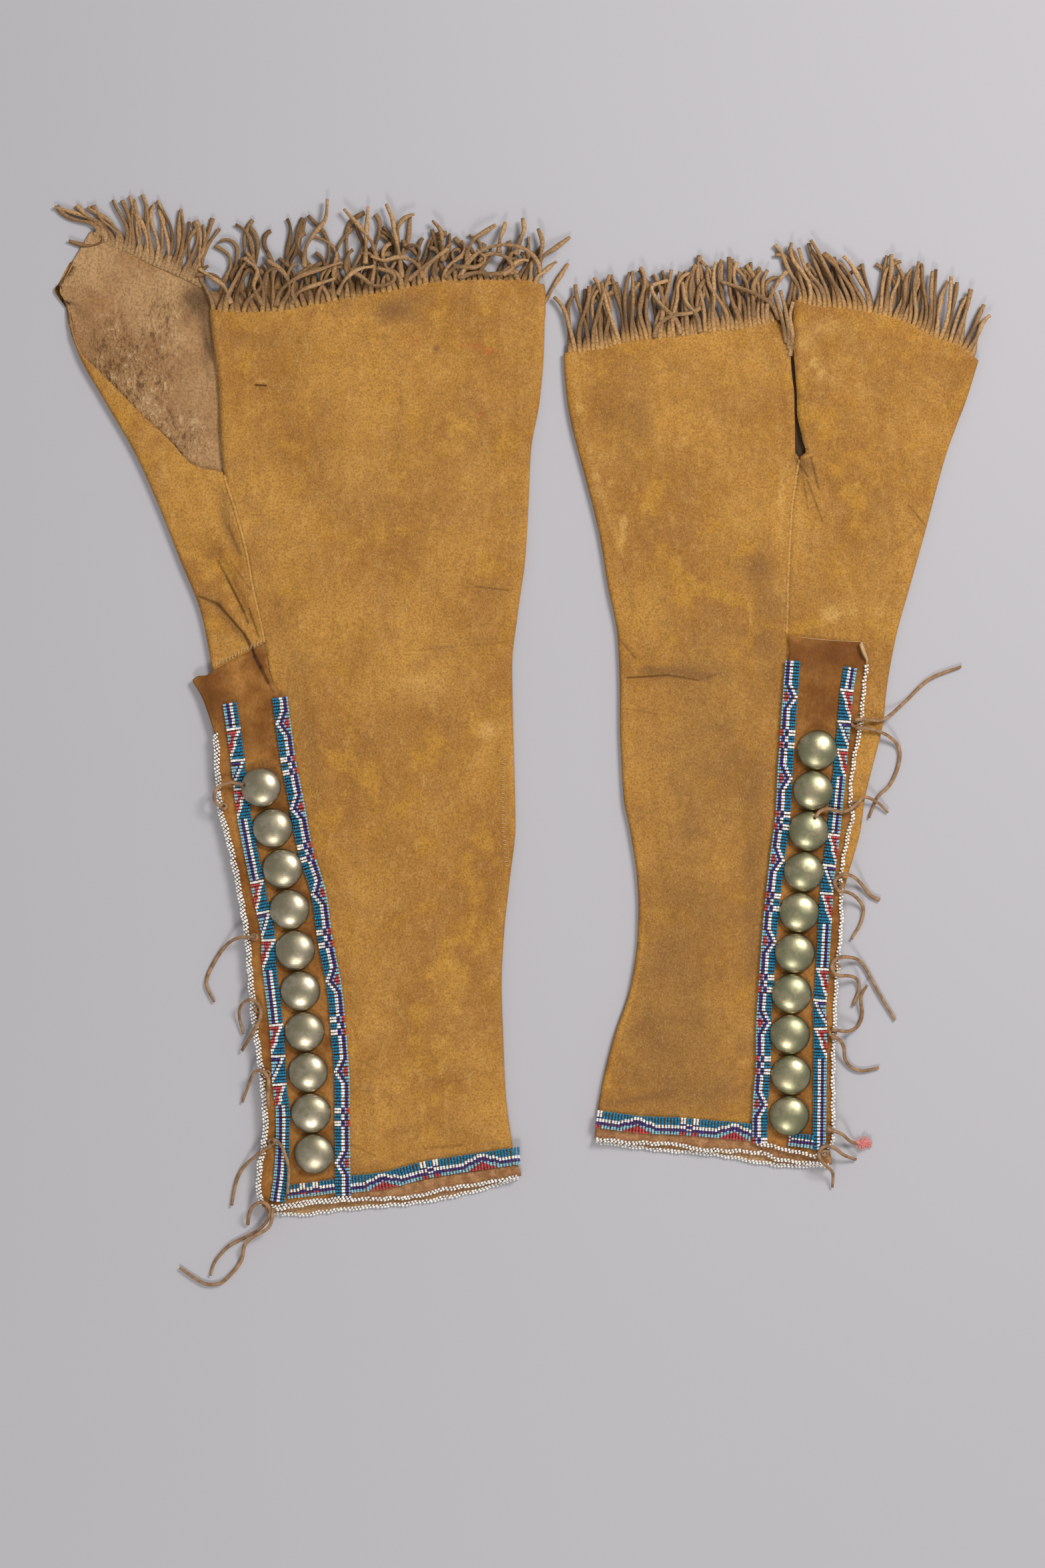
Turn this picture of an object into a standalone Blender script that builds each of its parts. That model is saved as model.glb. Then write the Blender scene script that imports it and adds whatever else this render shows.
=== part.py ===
"""A pair of beaded hide leggings lying flat side by side, as closed solids.

Each legging is one hide folded into a flattened tube. Its two edges meet in a seam on the front, which stops
short of the fringed thigh end. A leather flap with bead bands and domed buttons lies over the ankle half of the
seam, and a leather band closes the ankle. The tables below are in millimetres from the middle of the pair:
X to the right, Y towards the thigh, Z up from the surface that the pair lies on.
"""

import math
import random
from collections import namedtuple

import bmesh
import bpy
import numpy as np

MM = 0.001

# Hide walls and how the layers lie on each other.
WALL = 1.5
LAYER_GAP = 0.4
FOLD_RADIUS = 1.9
FOLD_REACH = 14.0
FOLD_SHOULDER = 6.0
SEAM_GAP = 0.3
OVERHANG_LEVEL = 3.0
OVERHANG_DROOP = 0.25
FLAP_CLEARANCE = 12.0

# What is sewn on.
SEAT_GAP = 0.3
FLAP_THICKNESS = 1.5
FLAP_BRIDGE = 2.5
LANE_CREST = 2.0
LANE_EDGE = 0.6
EDGING_WIDTH = 4.2
EDGING_HEIGHT = 1.7
EDGING_OVERHANG = 1.3
HEM_BEAD_WIDTH = 1.9
HEM_LANE_WIDTH = 10.6
FOOT_LANE_WIDTH = 8.4

# Domed buttons: a shank cone, a rim that stands clear of the bead lanes, and the dome.
DOME_COUNT = 10
DOME_SIDES = 12
DOME_SHANK_RADIUS = 5.5
DOME_RADIUS = 12.2
DOME_RIM_HEIGHT = 1.9
DOME_HEIGHT = 8.2
DOME_PROFILE = (
    (DOME_SHANK_RADIUS, 0),
    (DOME_RADIUS, DOME_RIM_HEIGHT),
    (0.79 * DOME_RADIUS, 0.74 * DOME_HEIGHT),
    (0.4 * DOME_RADIUS, 0.95 * DOME_HEIGHT),
)

# Fringe strands and the narrow strip that their roots are fused into.
STRIP_HEIGHT = 4.0
STRIP_THICKNESS = 1.3
STRAND_WIDTH = 2.3
STRAND_THICKNESS = 1.3
STRAND_TAPER = 0.65
STRAND_PIECES = 4
STRAND_LAYERS = 3
STRAND_LENGTHS = (0.86, 1.06)
STRAND_BOW = 0.45
STRAND_JITTER = 1.2
WAVE_LENGTH = 107.0
LAYER_RISE = 1.9
RISE_SHARE = 0.3
TIP_DROOP = 0.22

# Thongs, which rise and fall at a steady slope and pass this far above what they cross.
THONG_DIAMETER = 2.6
THONG_STEP = 1.0
THONG_SLOPE = 1.2
THONG_CLEARANCE = 0.25
THONG_SMOOTHING = 7
CROSSING_MARGIN = 1.5

SOLVER_STEPS = 40

MID_Z = WALL / 2 + WALL + LAYER_GAP
FOLD_Z = WALL / 2 + 2 * FOLD_RADIUS
FOLD_LIFT = FOLD_Z - MID_Z
FOLD_INSET = FOLD_RADIUS + WALL / 2

Section = namedtuple("Section", "y left right")
Seam = namedtuple("Seam", "y x gap")
EdgePoint = namedtuple("EdgePoint", "x y")
Width = namedtuple("Width", "y left right")
Middle = namedtuple("Middle", "y x")
Ridge = namedtuple("Ridge", "x0 y0 x1 y1 height width")
Root = namedtuple("Root", "x tip_x tip_y")
Knot = namedtuple("Knot", "x y lift")


class Curve:
    """A smooth curve through pairs (at, value) that never swings past them and is level beyond its ends."""

    def __init__(self, pairs):
        self.at, self.value = np.array(sorted(pairs), float).T
        slope = np.diff(self.value) / np.diff(self.at)
        self.tangent = np.zeros(len(self.at))
        self.tangent[0], self.tangent[-1] = slope[0], slope[-1]
        for i in range(1, len(slope)):
            before, after = slope[i - 1], slope[i]
            if before * after > 0:
                self.tangent[i] = 2 * before * after / (before + after)

    def __call__(self, where):
        where = np.clip(where, self.at[0], self.at[-1])
        i = np.clip(np.searchsorted(self.at, where) - 1, 0, len(self.at) - 2)
        step = self.at[i + 1] - self.at[i]
        t = (where - self.at[i]) / step
        start = self.value[i] * (1 + 2 * t) * (1 - t) ** 2 + self.tangent[i] * step * t * (1 - t) ** 2
        end = self.value[i + 1] * (3 - 2 * t) * t**2 - self.tangent[i + 1] * step * (1 - t) * t**2
        return start + end


LEFT = {
    # The folded hide from the thigh to the ankle, between its two side folds.
    "sections": [
        Section(291, -265, 16),
        Section(275, -274, 16),
        Section(259, -282.5, 16),
        Section(254, -284, 17),
        Section(247, -279.5, 17),
        Section(241, -275.5, 17),
        Section(235, -275.5, 16.5),
        Section(217, -270.5, 16),
        Section(187, -254, 13.5),
        Section(155, -235.5, 8),
        Section(122, -220.5, 6.5),
        Section(89, -207.5, 4.5),
        Section(56, -194.5, 0),
        Section(23, -188, -3.5),
        Section(-10, -182, -3),
        Section(-45, -177, -2),
        Section(-75, -172.5, -1.5),
        Section(-108, -166, -5),
        Section(-141, -161, -8.5),
        Section(-173, -157.5, -10),
        Section(-206, -154.5, -9),
        Section(-239, -151, -7.5),
        Section(-272, -151, -3),
        Section(-300, -154.5, 4.5),
        Section(-318, -157, 5),
    ],
    # The seam where the two edges of the hide meet on the front.
    "seam": [
        Seam(290, -190, 0.5),
        Seam(243, -189.5, 0.5),
        Seam(200, -184.5, 0.5),
        Seam(146, -181.3, 0.5),
        Seam(120, -173.8, 0.5),
        Seam(96, -167.3, 0.5),
        Seam(73, -163.2, 0.5),
        Seam(40, -156, 0.5),
        Seam(0, -150, 0.5),
        Seam(-60, -142, 0.5),
        Seam(-140, -128, 0.5),
        Seam(-220, -120, 0.5),
        Seam(-318, -118, 0.5),
    ],
    # Upper edges of the front left of the seam, the back, and the front right of the seam.
    "top_left": [
        EdgePoint(-268, 215),
        EdgePoint(-247.5, 195),
        EdgePoint(-234, 181),
        EdgePoint(-215, 163.5),
        EdgePoint(-199, 147),
        EdgePoint(-182.5, 143),
    ],
    "top_back": [
        EdgePoint(-262, 291),
        EdgePoint(-250.5, 283),
        EdgePoint(-238, 278),
        EdgePoint(-226, 272),
        EdgePoint(-212, 265.7),
        EdgePoint(-197.5, 259),
        EdgePoint(-188, 254),
        EdgePoint(-145, 256),
        EdgePoint(-100, 257),
        EdgePoint(-50, 259),
        EdgePoint(15, 258),
    ],
    "top_right": [
        EdgePoint(-190, 243),
        EdgePoint(-172, 241),
        EdgePoint(-145, 242),
        EdgePoint(-128, 245),
        EdgePoint(-103, 250),
        EdgePoint(-76, 254.5),
        EdgePoint(-51, 259.5),
        EdgePoint(-35, 260.5),
        EdgePoint(2, 261),
        EdgePoint(15, 258),
    ],
    # Lower edges of the hide and of the hem band, front and back.
    "hide_foot_front": [
        EdgePoint(-152, -300),
        EdgePoint(-102, -294),
        EdgePoint(-57, -286),
        EdgePoint(-22, -281),
        EdgePoint(4, -277),
    ],
    "hide_foot_back": [
        EdgePoint(-152, -302),
        EdgePoint(-102, -298),
        EdgePoint(-57, -292),
        EdgePoint(-22, -285),
        EdgePoint(4, -277.6),
    ],
    "hem_foot_front": [
        EdgePoint(-152, -306.5),
        EdgePoint(-107, -304),
        EdgePoint(-67, -302.5),
        EdgePoint(-46, -297.5),
        EdgePoint(-25, -294.5),
        EdgePoint(4, -288.8),
    ],
    "hem_foot_back": [
        EdgePoint(-156, -311.8),
        EdgePoint(-134, -313.2),
        EdgePoint(-109, -310),
        EdgePoint(-64, -306),
        EdgePoint(-25, -298.5),
        EdgePoint(4, -289.4),
    ],
    # Every line down the hide passes this height, with rows shared out above and below it.
    "front_fringe_on": "right front",
    "pivot": 110.0,
    "rows_above": (0, 0.09, 0.18, 0.22, 0.27, 0.33, 0.41, 0.55, 0.7, 0.85, 1),
    "rows_below": (0.09, 0.18, 0.27, 0.36, 0.45, 0.54, 0.63, 0.72, 0.81, 0.9, 1),
    # Lines down the hide between the side folds and the seam, as shares of the way from fold to seam.
    "left_shares": (0, 0.5, 1),
    "right_shares": (0, 0.25, 0.5, 0.75, 1),
    "ridges": [
        Ridge(-110, 215, -40, 196, 1.4, 22.0),
        Ridge(-60, 120, -20, 20, 1.6, 24.0),
        Ridge(-85, 40, -60, -90, 1.4, 20.0),
        Ridge(-75, -150, -40, -215, 1.6, 18.0),
    ],
    # The flap: its sides down its length, then its upper and lower ends.
    "flap": [
        Width(38, -199.7, -154.6),
        Width(15, -199.7, -149.5),
        Width(8, -195.6, -147),
        Width(2, -192.7, -143.5),
        Width(-10, -188.6, -140),
        Width(-20, -185.8, -138.5),
        Width(-42, -184.6, -135),
        Width(-59, -183.8, -131.7),
        Width(-89, -176.4, -125.5),
        Width(-115, -171.2, -118.2),
        Width(-144, -166.4, -113.3),
        Width(-171, -164.3, -108.7),
        Width(-195, -162, -105.9),
        Width(-227, -157.6, -103.8),
        Width(-258, -155.2, -103),
        Width(-272, -156.4, -103),
        Width(-288, -159.3, -103),
        Width(-300, -159, -103.4),
        Width(-309, -156, -103.4),
    ],
    "flap_top": [EdgePoint(-199.7, 15.2), EdgePoint(-185, 22.5), EdgePoint(-154.6, 38.1)],
    "flap_foot": [
        EdgePoint(-160, -305),
        EdgePoint(-155, -308.6),
        EdgePoint(-150, -309),
        EdgePoint(-129, -306.2),
        EdgePoint(-103.5, -303.5),
    ],
    "edging_side": "left",
    "edging_start": -19.0,
    "edging_corner": EdgePoint(-156.5, -306.2),
    # Middles of the two bead lanes down the flap.
    "lane_outer": [
        Middle(0, -176.5),
        Middle(-18, -173.8),
        Middle(-35, -171.6),
        Middle(-68.5, -167.7),
        Middle(-108.6, -159.9),
        Middle(-140, -153.3),
        Middle(-157, -152.7),
        Middle(-198, -148),
        Middle(-234, -146),
        Middle(-247, -144.2),
        Middle(-264, -144),
        Middle(-286, -145),
        Middle(-304, -147.4),
    ],
    "lane_inner": [
        Middle(3.7, -146),
        Middle(-32, -141.2),
        Middle(-58.6, -136.1),
        Middle(-89, -130.4),
        Middle(-115, -122.4),
        Middle(-144, -118.3),
        Middle(-171, -113),
        Middle(-195, -110.5),
        Middle(-227.5, -108),
        Middle(-258, -107.8),
        Middle(-300.5, -107.3),
    ],
    "lane_width": (8.6, 9.4),
    "lane_hem": [
        EdgePoint(-102.2, -294.4),
        EdgePoint(-80.8, -291.9),
        EdgePoint(-56.6, -285.6),
        EdgePoint(-22, -280.6),
        EdgePoint(-3.4, -277.6),
    ],
    "lane_foot": [EdgePoint(-140.7, -298.9), EdgePoint(-127, -297.3), EdgePoint(-113, -295.4)],
    "domes": [
        Middle(-50.8, -157.4),
        Middle(-99.6, -144.5),
        Middle(-150, -136.6),
        Middle(-200, -130.8),
        Middle(-275.5, -125),
    ],
    "thongs": [
        [Knot(-168, -49.5, 0), Knot(-179.6, -48, 0), Knot(-185.5, -54, 4), Knot(-179.5, -64.5, 0)],
        [
            Knot(-160.6, -142.5, 0),
            Knot(-171.4, -143.1, 0),
            Knot(-179.2, -148, 0),
            Knot(-185.7, -157, 0),
            Knot(-190.6, -166.9, 0),
            Knot(-191.1, -173.8, 0),
            Knot(-186.5, -182.9, 0),
        ],
        [
            Knot(-169.5, -212.5, 0),
            Knot(-161.5, -199.7, 0),
            Knot(-157.8, -190.6, 0),
            Knot(-158.6, -184.5, 0),
            Knot(-164, -182.7, 0),
            Knot(-169.7, -188.6, 0),
            Knot(-171, -196, 0),
            Knot(-168.7, -202.6, 0),
        ],
        [
            Knot(-152.6, -246.4, 0),
            Knot(-153, -239.4, 0),
            Knot(-153, -229.6, 0),
            Knot(-154.6, -224, 0),
            Knot(-158.4, -226.2, 0),
            Knot(-164.8, -235.3, 0),
            Knot(-169.3, -244.4, 0),
        ],
        [
            Knot(-151.2, -270.2, 0),
            Knot(-157.8, -274.7, 0),
            Knot(-167.7, -283.3, 0),
            Knot(-173, -293.1, 0),
            Knot(-175.9, -307.9, 0),
        ],
        [
            Knot(-150.2, -265.8, 0),
            Knot(-146, -268, 0),
            Knot(-143.1, -275.1, 0),
            Knot(-140.2, -285.4, 0),
            Knot(-141, -300.1, 0),
        ],
        [
            Knot(-166, -319.5, 0),
            Knot(-163, -314.5, 0),
            Knot(-159.5, -309.8, 0),
            Knot(-156, -306.8, 0),
            Knot(-153.4, -310.6, 0),
            Knot(-156.4, -318.5, 0),
            Knot(-164.8, -325.1, 0),
            Knot(-176.7, -332.1, 0),
            Knot(-182.9, -338.2, 0),
            Knot(-186.5, -343.2, 0),
            Knot(-189, -351, 0),
        ],
        [
            Knot(-149.8, -308.5, 0),
            Knot(-150.5, -315, 0),
            Knot(-153.4, -321.4, 3),
            Knot(-161.2, -326, 4),
            Knot(-167.3, -331.4, 4),
            Knot(-170.1, -341.9, 0),
            Knot(-176.3, -350.1, 0),
            Knot(-182.9, -355.5, 0),
            Knot(-190.6, -356.3, 0),
            Knot(-198.4, -352.6, 0),
            Knot(-207.9, -346, 0),
        ],
    ],
    # Fringe runs: layer, strand count, spread of the strands, and roots with the tip's place from the root.
    "fringes": [
        (
            "front",
            42,
            5.0,
            [
                Root(-189, -6, 44),
                Root(-172, -2, 46),
                Root(-150, 5, 50),
                Root(-128, 4, 52),
                Root(-103, 6, 52),
                Root(-76, -4, 50),
                Root(-51, 5, 40),
                Root(-25, -5, 38),
                Root(0, 4, 38),
                Root(13, 20, 22),
            ],
        ),
        (
            "back",
            18,
            2.0,
            [
                Root(-184, -8, 42),
                Root(-150, 3, 46),
                Root(-100, -4, 52),
                Root(-50, 4, 48),
                Root(8, 6, 40),
            ],
        ),
        (
            "corner",
            18,
            1.5,
            [
                Root(-261, -37, -15),
                Root(-255, -26, 16),
                Root(-248, -15, 28),
                Root(-238, -6, 34),
                Root(-225, -7, 40),
                Root(-211, 3, 41),
                Root(-194, 6, 42),
            ],
        ),
    ],
}

RIGHT = {
    "sections": [
        Section(250, 27, 297),
        Section(230, 28, 289),
        Section(211, 28.3, 283),
        Section(187, 30.3, 275.5),
        Section(171, 33.2, 269.4),
        Section(155, 37.3, 263.6),
        Section(138, 41.8, 258.7),
        Section(105, 50, 250),
        Section(73, 55.3, 241),
        Section(40, 61.5, 232),
        Section(7, 62.7, 226.3),
        Section(-9, 62.7, 224.8),
        Section(-42, 64, 217),
        Section(-59, 65.2, 213),
        Section(-75, 68.5, 211),
        Section(-108, 73.4, 202),
        Section(-124, 74.2, 198),
        Section(-141, 73.8, 195),
        Section(-173, 69.3, 192),
        Section(-206, 58.6, 191),
        Section(-239, 50.8, 190),
        Section(-262, 47.5, 190.5),
        Section(-285, 45.8, 193.5),
    ],
    "seam": [
        Seam(250, 168.5, 4.6),
        Seam(204, 169.3, 4.1),
        Seam(179, 170.6, 1.8),
        Seam(166.5, 172.6, 5.8),
        Seam(157, 173.4, 7.2),
        Seam(150.5, 175.6, 4.6),
        Seam(144, 177.6, 0.6),
        Seam(133, 172, 0.5),
        Seam(118, 168, 0.5),
        Seam(40, 165.2, 0.5),
        Seam(-30, 165, 0.5),
        Seam(-110, 163, 0.5),
        Seam(-200, 160, 0.5),
        Seam(-285, 160, 0.5),
    ],
    "top_left": [
        EdgePoint(28.5, 215.7),
        EdgePoint(51.7, 218.5),
        EdgePoint(61, 221.5),
        EdgePoint(74, 224),
        EdgePoint(104, 226.7),
        EdgePoint(118.4, 229.2),
        EdgePoint(138, 231.2),
        EdgePoint(150, 233.5),
        EdgePoint(159, 236),
        EdgePoint(163.5, 229),
        EdgePoint(167, 220),
    ],
    "top_back": [
        EdgePoint(28, 215),
        EdgePoint(90, 223),
        EdgePoint(165, 235),
        EdgePoint(215, 238),
        EdgePoint(250, 227),
        EdgePoint(283, 210),
    ],
    "top_right": [
        EdgePoint(170.8, 249),
        EdgePoint(180, 245.6),
        EdgePoint(201, 243.7),
        EdgePoint(216, 241.3),
        EdgePoint(238, 235),
        EdgePoint(255.4, 226.3),
        EdgePoint(272, 220),
        EdgePoint(283, 211),
    ],
    "hide_foot_front": [
        EdgePoint(46, -253.5),
        EdgePoint(75, -258),
        EdgePoint(99, -259),
        EdgePoint(145, -262.7),
        EdgePoint(190, -266),
    ],
    "hide_foot_back": [
        EdgePoint(46, -256),
        EdgePoint(100, -262),
        EdgePoint(145, -265),
        EdgePoint(190, -266.6),
    ],
    "hem_foot_front": [
        EdgePoint(46, -266.3),
        EdgePoint(73, -269),
        EdgePoint(97, -269.6),
        EdgePoint(109, -272.8),
        EdgePoint(150, -275.2),
        EdgePoint(160, -279.2),
        EdgePoint(190, -282.4),
    ],
    "hem_foot_back": [
        EdgePoint(46, -268),
        EdgePoint(85, -273.3),
        EdgePoint(120, -276.2),
        EdgePoint(151, -281.5),
        EdgePoint(168, -283.2),
        EdgePoint(193, -283.4),
    ],
    "front_fringe_on": "left front",
    "pivot": 144.0,
    "rows_above": (0, 0.2, 0.4, 0.55, 0.7, 0.8, 0.88, 0.94, 1),
    "rows_below": (0.035, 0.07, 0.14, 0.22, 0.3, 0.38, 0.46, 0.54, 0.62, 0.7, 0.78, 0.85, 0.92, 1),
    "left_shares": (0, 0.3, 0.6, 0.94, 1),
    "right_shares": (0, 0.4, 0.7, 1),
    "ridges": [
        Ridge(70, 120, 105, 50, 1.6, 18.0),
        Ridge(84, 170, 120, 140, 1.2, 18.0),
        Ridge(190, 170, 235, 120, 1.4, 20.0),
        Ridge(95, -40, 110, -150, 1.4, 18.0),
        Ridge(80, -180, 105, -215, 1.4, 14.0),
    ],
    "flap": [
        Width(42, 166.5, 212.6),
        Width(30, 167, 214.8),
        Width(24, 164.6, 213.9),
        Width(5, 162.8, 211.9),
        Width(-10, 161.5, 210.6),
        Width(-38, 159.3, 205.5),
        Width(-57, 158.4, 203.8),
        Width(-68, 158, 205.2),
        Width(-82, 156.6, 202),
        Width(-108, 153.6, 198),
        Width(-131, 151, 198.3),
        Width(-156, 149, 196.4),
        Width(-192, 146.7, 194.2),
        Width(-225, 145.6, 193.2),
        Width(-248, 144, 193.2),
        Width(-262, 143.6, 193.6),
        Width(-270, 143.4, 192),
        Width(-276, 143.4, 189.6),
    ],
    "flap_top": [EdgePoint(166.5, 42.2), EdgePoint(190, 41.4), EdgePoint(212.4, 38.1)],
    "flap_foot": [
        EdgePoint(143.4, -269),
        EdgePoint(152.3, -270.1),
        EdgePoint(167.6, -273.7),
        EdgePoint(185, -276.6),
        EdgePoint(190, -275.8),
    ],
    "edging_side": "right",
    "edging_start": 23.5,
    "edging_corner": EdgePoint(189.9, -273.3),
    "lane_outer": [
        Middle(22, 204),
        Middle(6.6, 201.7),
        Middle(-28, 198.7),
        Middle(-82, 193.3),
        Middle(-99, 191),
        Middle(-115.6, 189.4),
        Middle(-170, 186.3),
        Middle(-186.5, 184.9),
        Middle(-203, 185.5),
        Middle(-266, 184.9),
    ],
    "lane_inner": [
        Middle(26, 168.7),
        Middle(5, 167.1),
        Middle(-42, 164),
        Middle(-68, 162.6),
        Middle(-94, 159.3),
        Middle(-122, 156.2),
        Middle(-143.5, 154.2),
        Middle(-168.5, 152.6),
        Middle(-195, 150.9),
        Middle(-220, 150.6),
        Middle(-248, 148.7),
        Middle(-265.5, 148.5),
    ],
    "lane_width": (8.0, 9.2),
    "lane_hem": [
        EdgePoint(50.6, -254.4),
        EdgePoint(74.6, -257.8),
        EdgePoint(98.8, -258.7),
        EdgePoint(128.7, -261.2),
        EdgePoint(142.6, -262.5),
    ],
    "lane_foot": [],
    "domes": [
        Middle(-27.9, 183.7),
        Middle(-76.3, 178.5),
        Middle(-125.5, 172.8),
        Middle(-180, 167.8),
        Middle(-204, 167),
        Middle(-227.5, 167.6),
        Middle(-252.1, 166.5),
    ],
    "thongs": [
        [
            Knot(206.4, -9.4, 0),
            Knot(213, -9.2, 0),
            Knot(224.7, -9, 0),
            Knot(238.2, 2, 0),
            Knot(253, 15.6, 0),
            Knot(272.6, 23.4, 0),
        ],
        [
            Knot(206.8, -14.4, 0),
            Knot(215.2, -14.7, 0),
            Knot(226.7, -18.9, 0),
            Knot(234.1, -26.2, 0),
            Knot(234.1, -36.9, 0),
            Knot(228.8, -49.2, 0),
            Knot(221.4, -56.6, 0),
            Knot(215.8, -69.7, 0),
        ],
        [
            Knot(182, -69.3, 0),
            Knot(185.7, -64.4, 0),
            Knot(192.3, -65.6, 0),
            Knot(202.1, -65.2, 0),
            Knot(207.9, -60.7, 0),
            Knot(213.2, -56.8, 0),
            Knot(221.4, -60.5, 0),
            Knot(227.5, -66.3, 0),
        ],
        [
            Knot(222.6, -120.1, 0),
            Knot(216.9, -117.3, 0),
            Knot(211.5, -110.7, 0),
            Knot(205, -106.6, 0),
            Knot(197, -109, 0),
            Knot(196, -114.6, 0),
            Knot(202.6, -113.6, 0),
            Knot(208.7, -117.6, 0),
            Knot(212.4, -125.6, 0),
            Knot(210.7, -134.9, 0),
            Knot(205, -144.3, 0),
        ],
        [
            Knot(206.2, -184.9, 0),
            Knot(209.9, -175.1, 0),
            Knot(208.4, -167, 0),
            Knot(202, -163.8, 0),
            Knot(195, -163, 0),
            Knot(194.4, -158.6, 0),
            Knot(202, -157.2, 0),
            Knot(210.7, -158.2, 0),
            Knot(215.4, -164.8, 0),
            Knot(222.2, -177.5, 0),
            Knot(232.1, -193.9, 0),
        ],
        [
            Knot(192.4, -199.2, 0),
            Knot(202.1, -200, 0),
            Knot(209.5, -197.6, 0),
            Knot(211.4, -190.5, 0),
            Knot(210.7, -180, 3),
            Knot(214.6, -172, 3),
        ],
        [
            Knot(192, -203.4, 0),
            Knot(198, -206.6, 0),
            Knot(199.7, -216.5, 0),
            Knot(204.6, -223, 0),
            Knot(212, -225.1, 0),
            Knot(222.2, -223, 0),
        ],
        [
            Knot(189.2, -259.6, 0),
            Knot(198.4, -263.2, 0),
            Knot(205.8, -269, 0),
            Knot(217.4, -269.8, 0),
        ],
        [
            Knot(207.8, -279.6, 0),
            Knot(199.4, -278.4, 0),
            Knot(191.4, -273.6, 0),
            Knot(187, -275, 0),
            Knot(190.4, -280.6, 0),
            Knot(195.6, -287.4, 0),
            Knot(193.4, -296.6, 0),
        ],
    ],
    "fringes": [
        (
            "front",
            28,
            2.2,
            [
                Root(31, 2, 32),
                Root(45, 4, 38),
                Root(62, -2, 36),
                Root(88, 2, 36),
                Root(104, 3, 38),
                Root(120, -3, 40),
                Root(138, -2, 38),
                Root(158, -4, 30),
            ],
        ),
        (
            "back",
            13,
            2.0,
            [
                Root(36, 3, 34),
                Root(90, -4, 36),
                Root(165, 3, 34),
                Root(215, -6, 36),
                Root(245, 4, 34),
            ],
        ),
        (
            "wrap",
            26,
            1.2,
            [
                Root(172, -15, 31),
                Root(191, -14, 31),
                Root(211, -16, 31),
                Root(219, 6, 36),
                Root(238, 5, 37),
                Root(255, 1, 41),
                Root(268, 4, 36),
                Root(280, 9, 27),
            ],
        ),
    ],
}

COLOURS = {
    "ochre_hide": (0.46, 0.27, 0.075),
    "brown_leather": (0.27, 0.13, 0.05),
    "fringe_hide": (0.36, 0.23, 0.11),
    "blue_beads": (0.03, 0.16, 0.27),
    "white_beads": (0.75, 0.73, 0.68),
    "dome_metal": (0.36, 0.33, 0.23),
    "thong_hide": (0.33, 0.2, 0.1),
}


def material_named(name):
    """One Principled material for each finish, shared by the pieces that have it."""
    material = bpy.data.materials.get(name)
    if material is None:
        material = bpy.data.materials.new(name)
        material.use_nodes = True
        shader = material.node_tree.nodes["Principled BSDF"]
        shader.inputs["Base Color"].default_value = (*COLOURS[name], 1)
        shader.inputs["Roughness"].default_value = 0.35 if "metal" in name or "beads" in name else 0.9
        shader.inputs["Metallic"].default_value = 1.0 if "metal" in name else 0.0
    return material


def add_piece(name, data, finish, parent):
    piece = bpy.data.objects.new(name, data)
    data.materials.append(material_named(finish))
    piece.parent = parent
    bpy.context.scene.collection.objects.link(piece)


def closed_mesh(name, points, faces):
    """A mesh from points in the tables' frame, with its faces turned outwards."""
    mesh = bpy.data.meshes.new(name)
    mesh.from_pydata([tuple(p) for p in np.asarray(points) * MM], [], faces)
    form = bmesh.new()
    form.from_mesh(mesh)
    bmesh.ops.recalc_face_normals(form, faces=form.faces)
    form.to_mesh(mesh)
    form.free()
    return mesh


def slab_mesh(name, outer, inner):
    """A wall between two grids of points, closed round all four sides."""
    rows, lines = outer.shape[:2]
    size = rows * lines
    faces = []
    for r in range(rows - 1):
        for k in range(lines - 1):
            a = r * lines + k
            quad = (a, a + 1, a + lines + 1, a + lines)
            faces += [quad, tuple(size + i for i in reversed(quad))]
    border = [k for k in range(lines)]
    border += [r * lines + lines - 1 for r in range(1, rows)]
    border += [(rows - 1) * lines + k for k in range(lines - 2, -1, -1)]
    border += [r * lines for r in range(rows - 2, 0, -1)]
    for a, b in zip(border, border[1:] + border[:1]):
        faces.append((a, a + size, b + size, b))
    return closed_mesh(name, np.concatenate([outer.reshape(-1, 3), inner.reshape(-1, 3)]), faces)


def bar_mesh(name, rings):
    """A bar through rings of points, with a face across each end."""
    rings = np.asarray(rings, float)
    count, sides = rings.shape[:2]
    faces = [tuple(range(sides)), tuple((count - 1) * sides + i for i in range(sides))]
    for r in range(count - 1):
        for i in range(sides):
            a, b = r * sides + i, r * sides + (i + 1) % sides
            faces.append((a, b, b + sides, a + sides))
    return closed_mesh(name, rings.reshape(-1, 3), faces)


def smooth_path(points, step):
    """Points a step apart along a Catmull-Rom curve through the given points."""
    points = np.asarray(points, float)
    ends = np.concatenate([[2 * points[0] - points[1]], points, [2 * points[-1] - points[-2]]])
    fine = []
    for i in range(len(points) - 1):
        a, b, c, d = ends[i : i + 4]
        for t in np.arange(0, 1, 0.05):
            straight = 2 * b + (c - a) * t
            bent = (2 * a - 5 * b + 4 * c - d) * t**2 + (3 * b - a - 3 * c + d) * t**3
            fine.append(0.5 * (straight + bent))
    fine = np.array(fine + [points[-1]])
    along = np.concatenate([[0], np.cumsum(np.linalg.norm(np.diff(fine, axis=0), axis=1))])
    at = np.linspace(0, along[-1], max(2, round(along[-1] / step) + 1))
    return np.stack([np.interp(at, along, fine[:, k]) for k in range(fine.shape[1])], axis=1)


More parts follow.
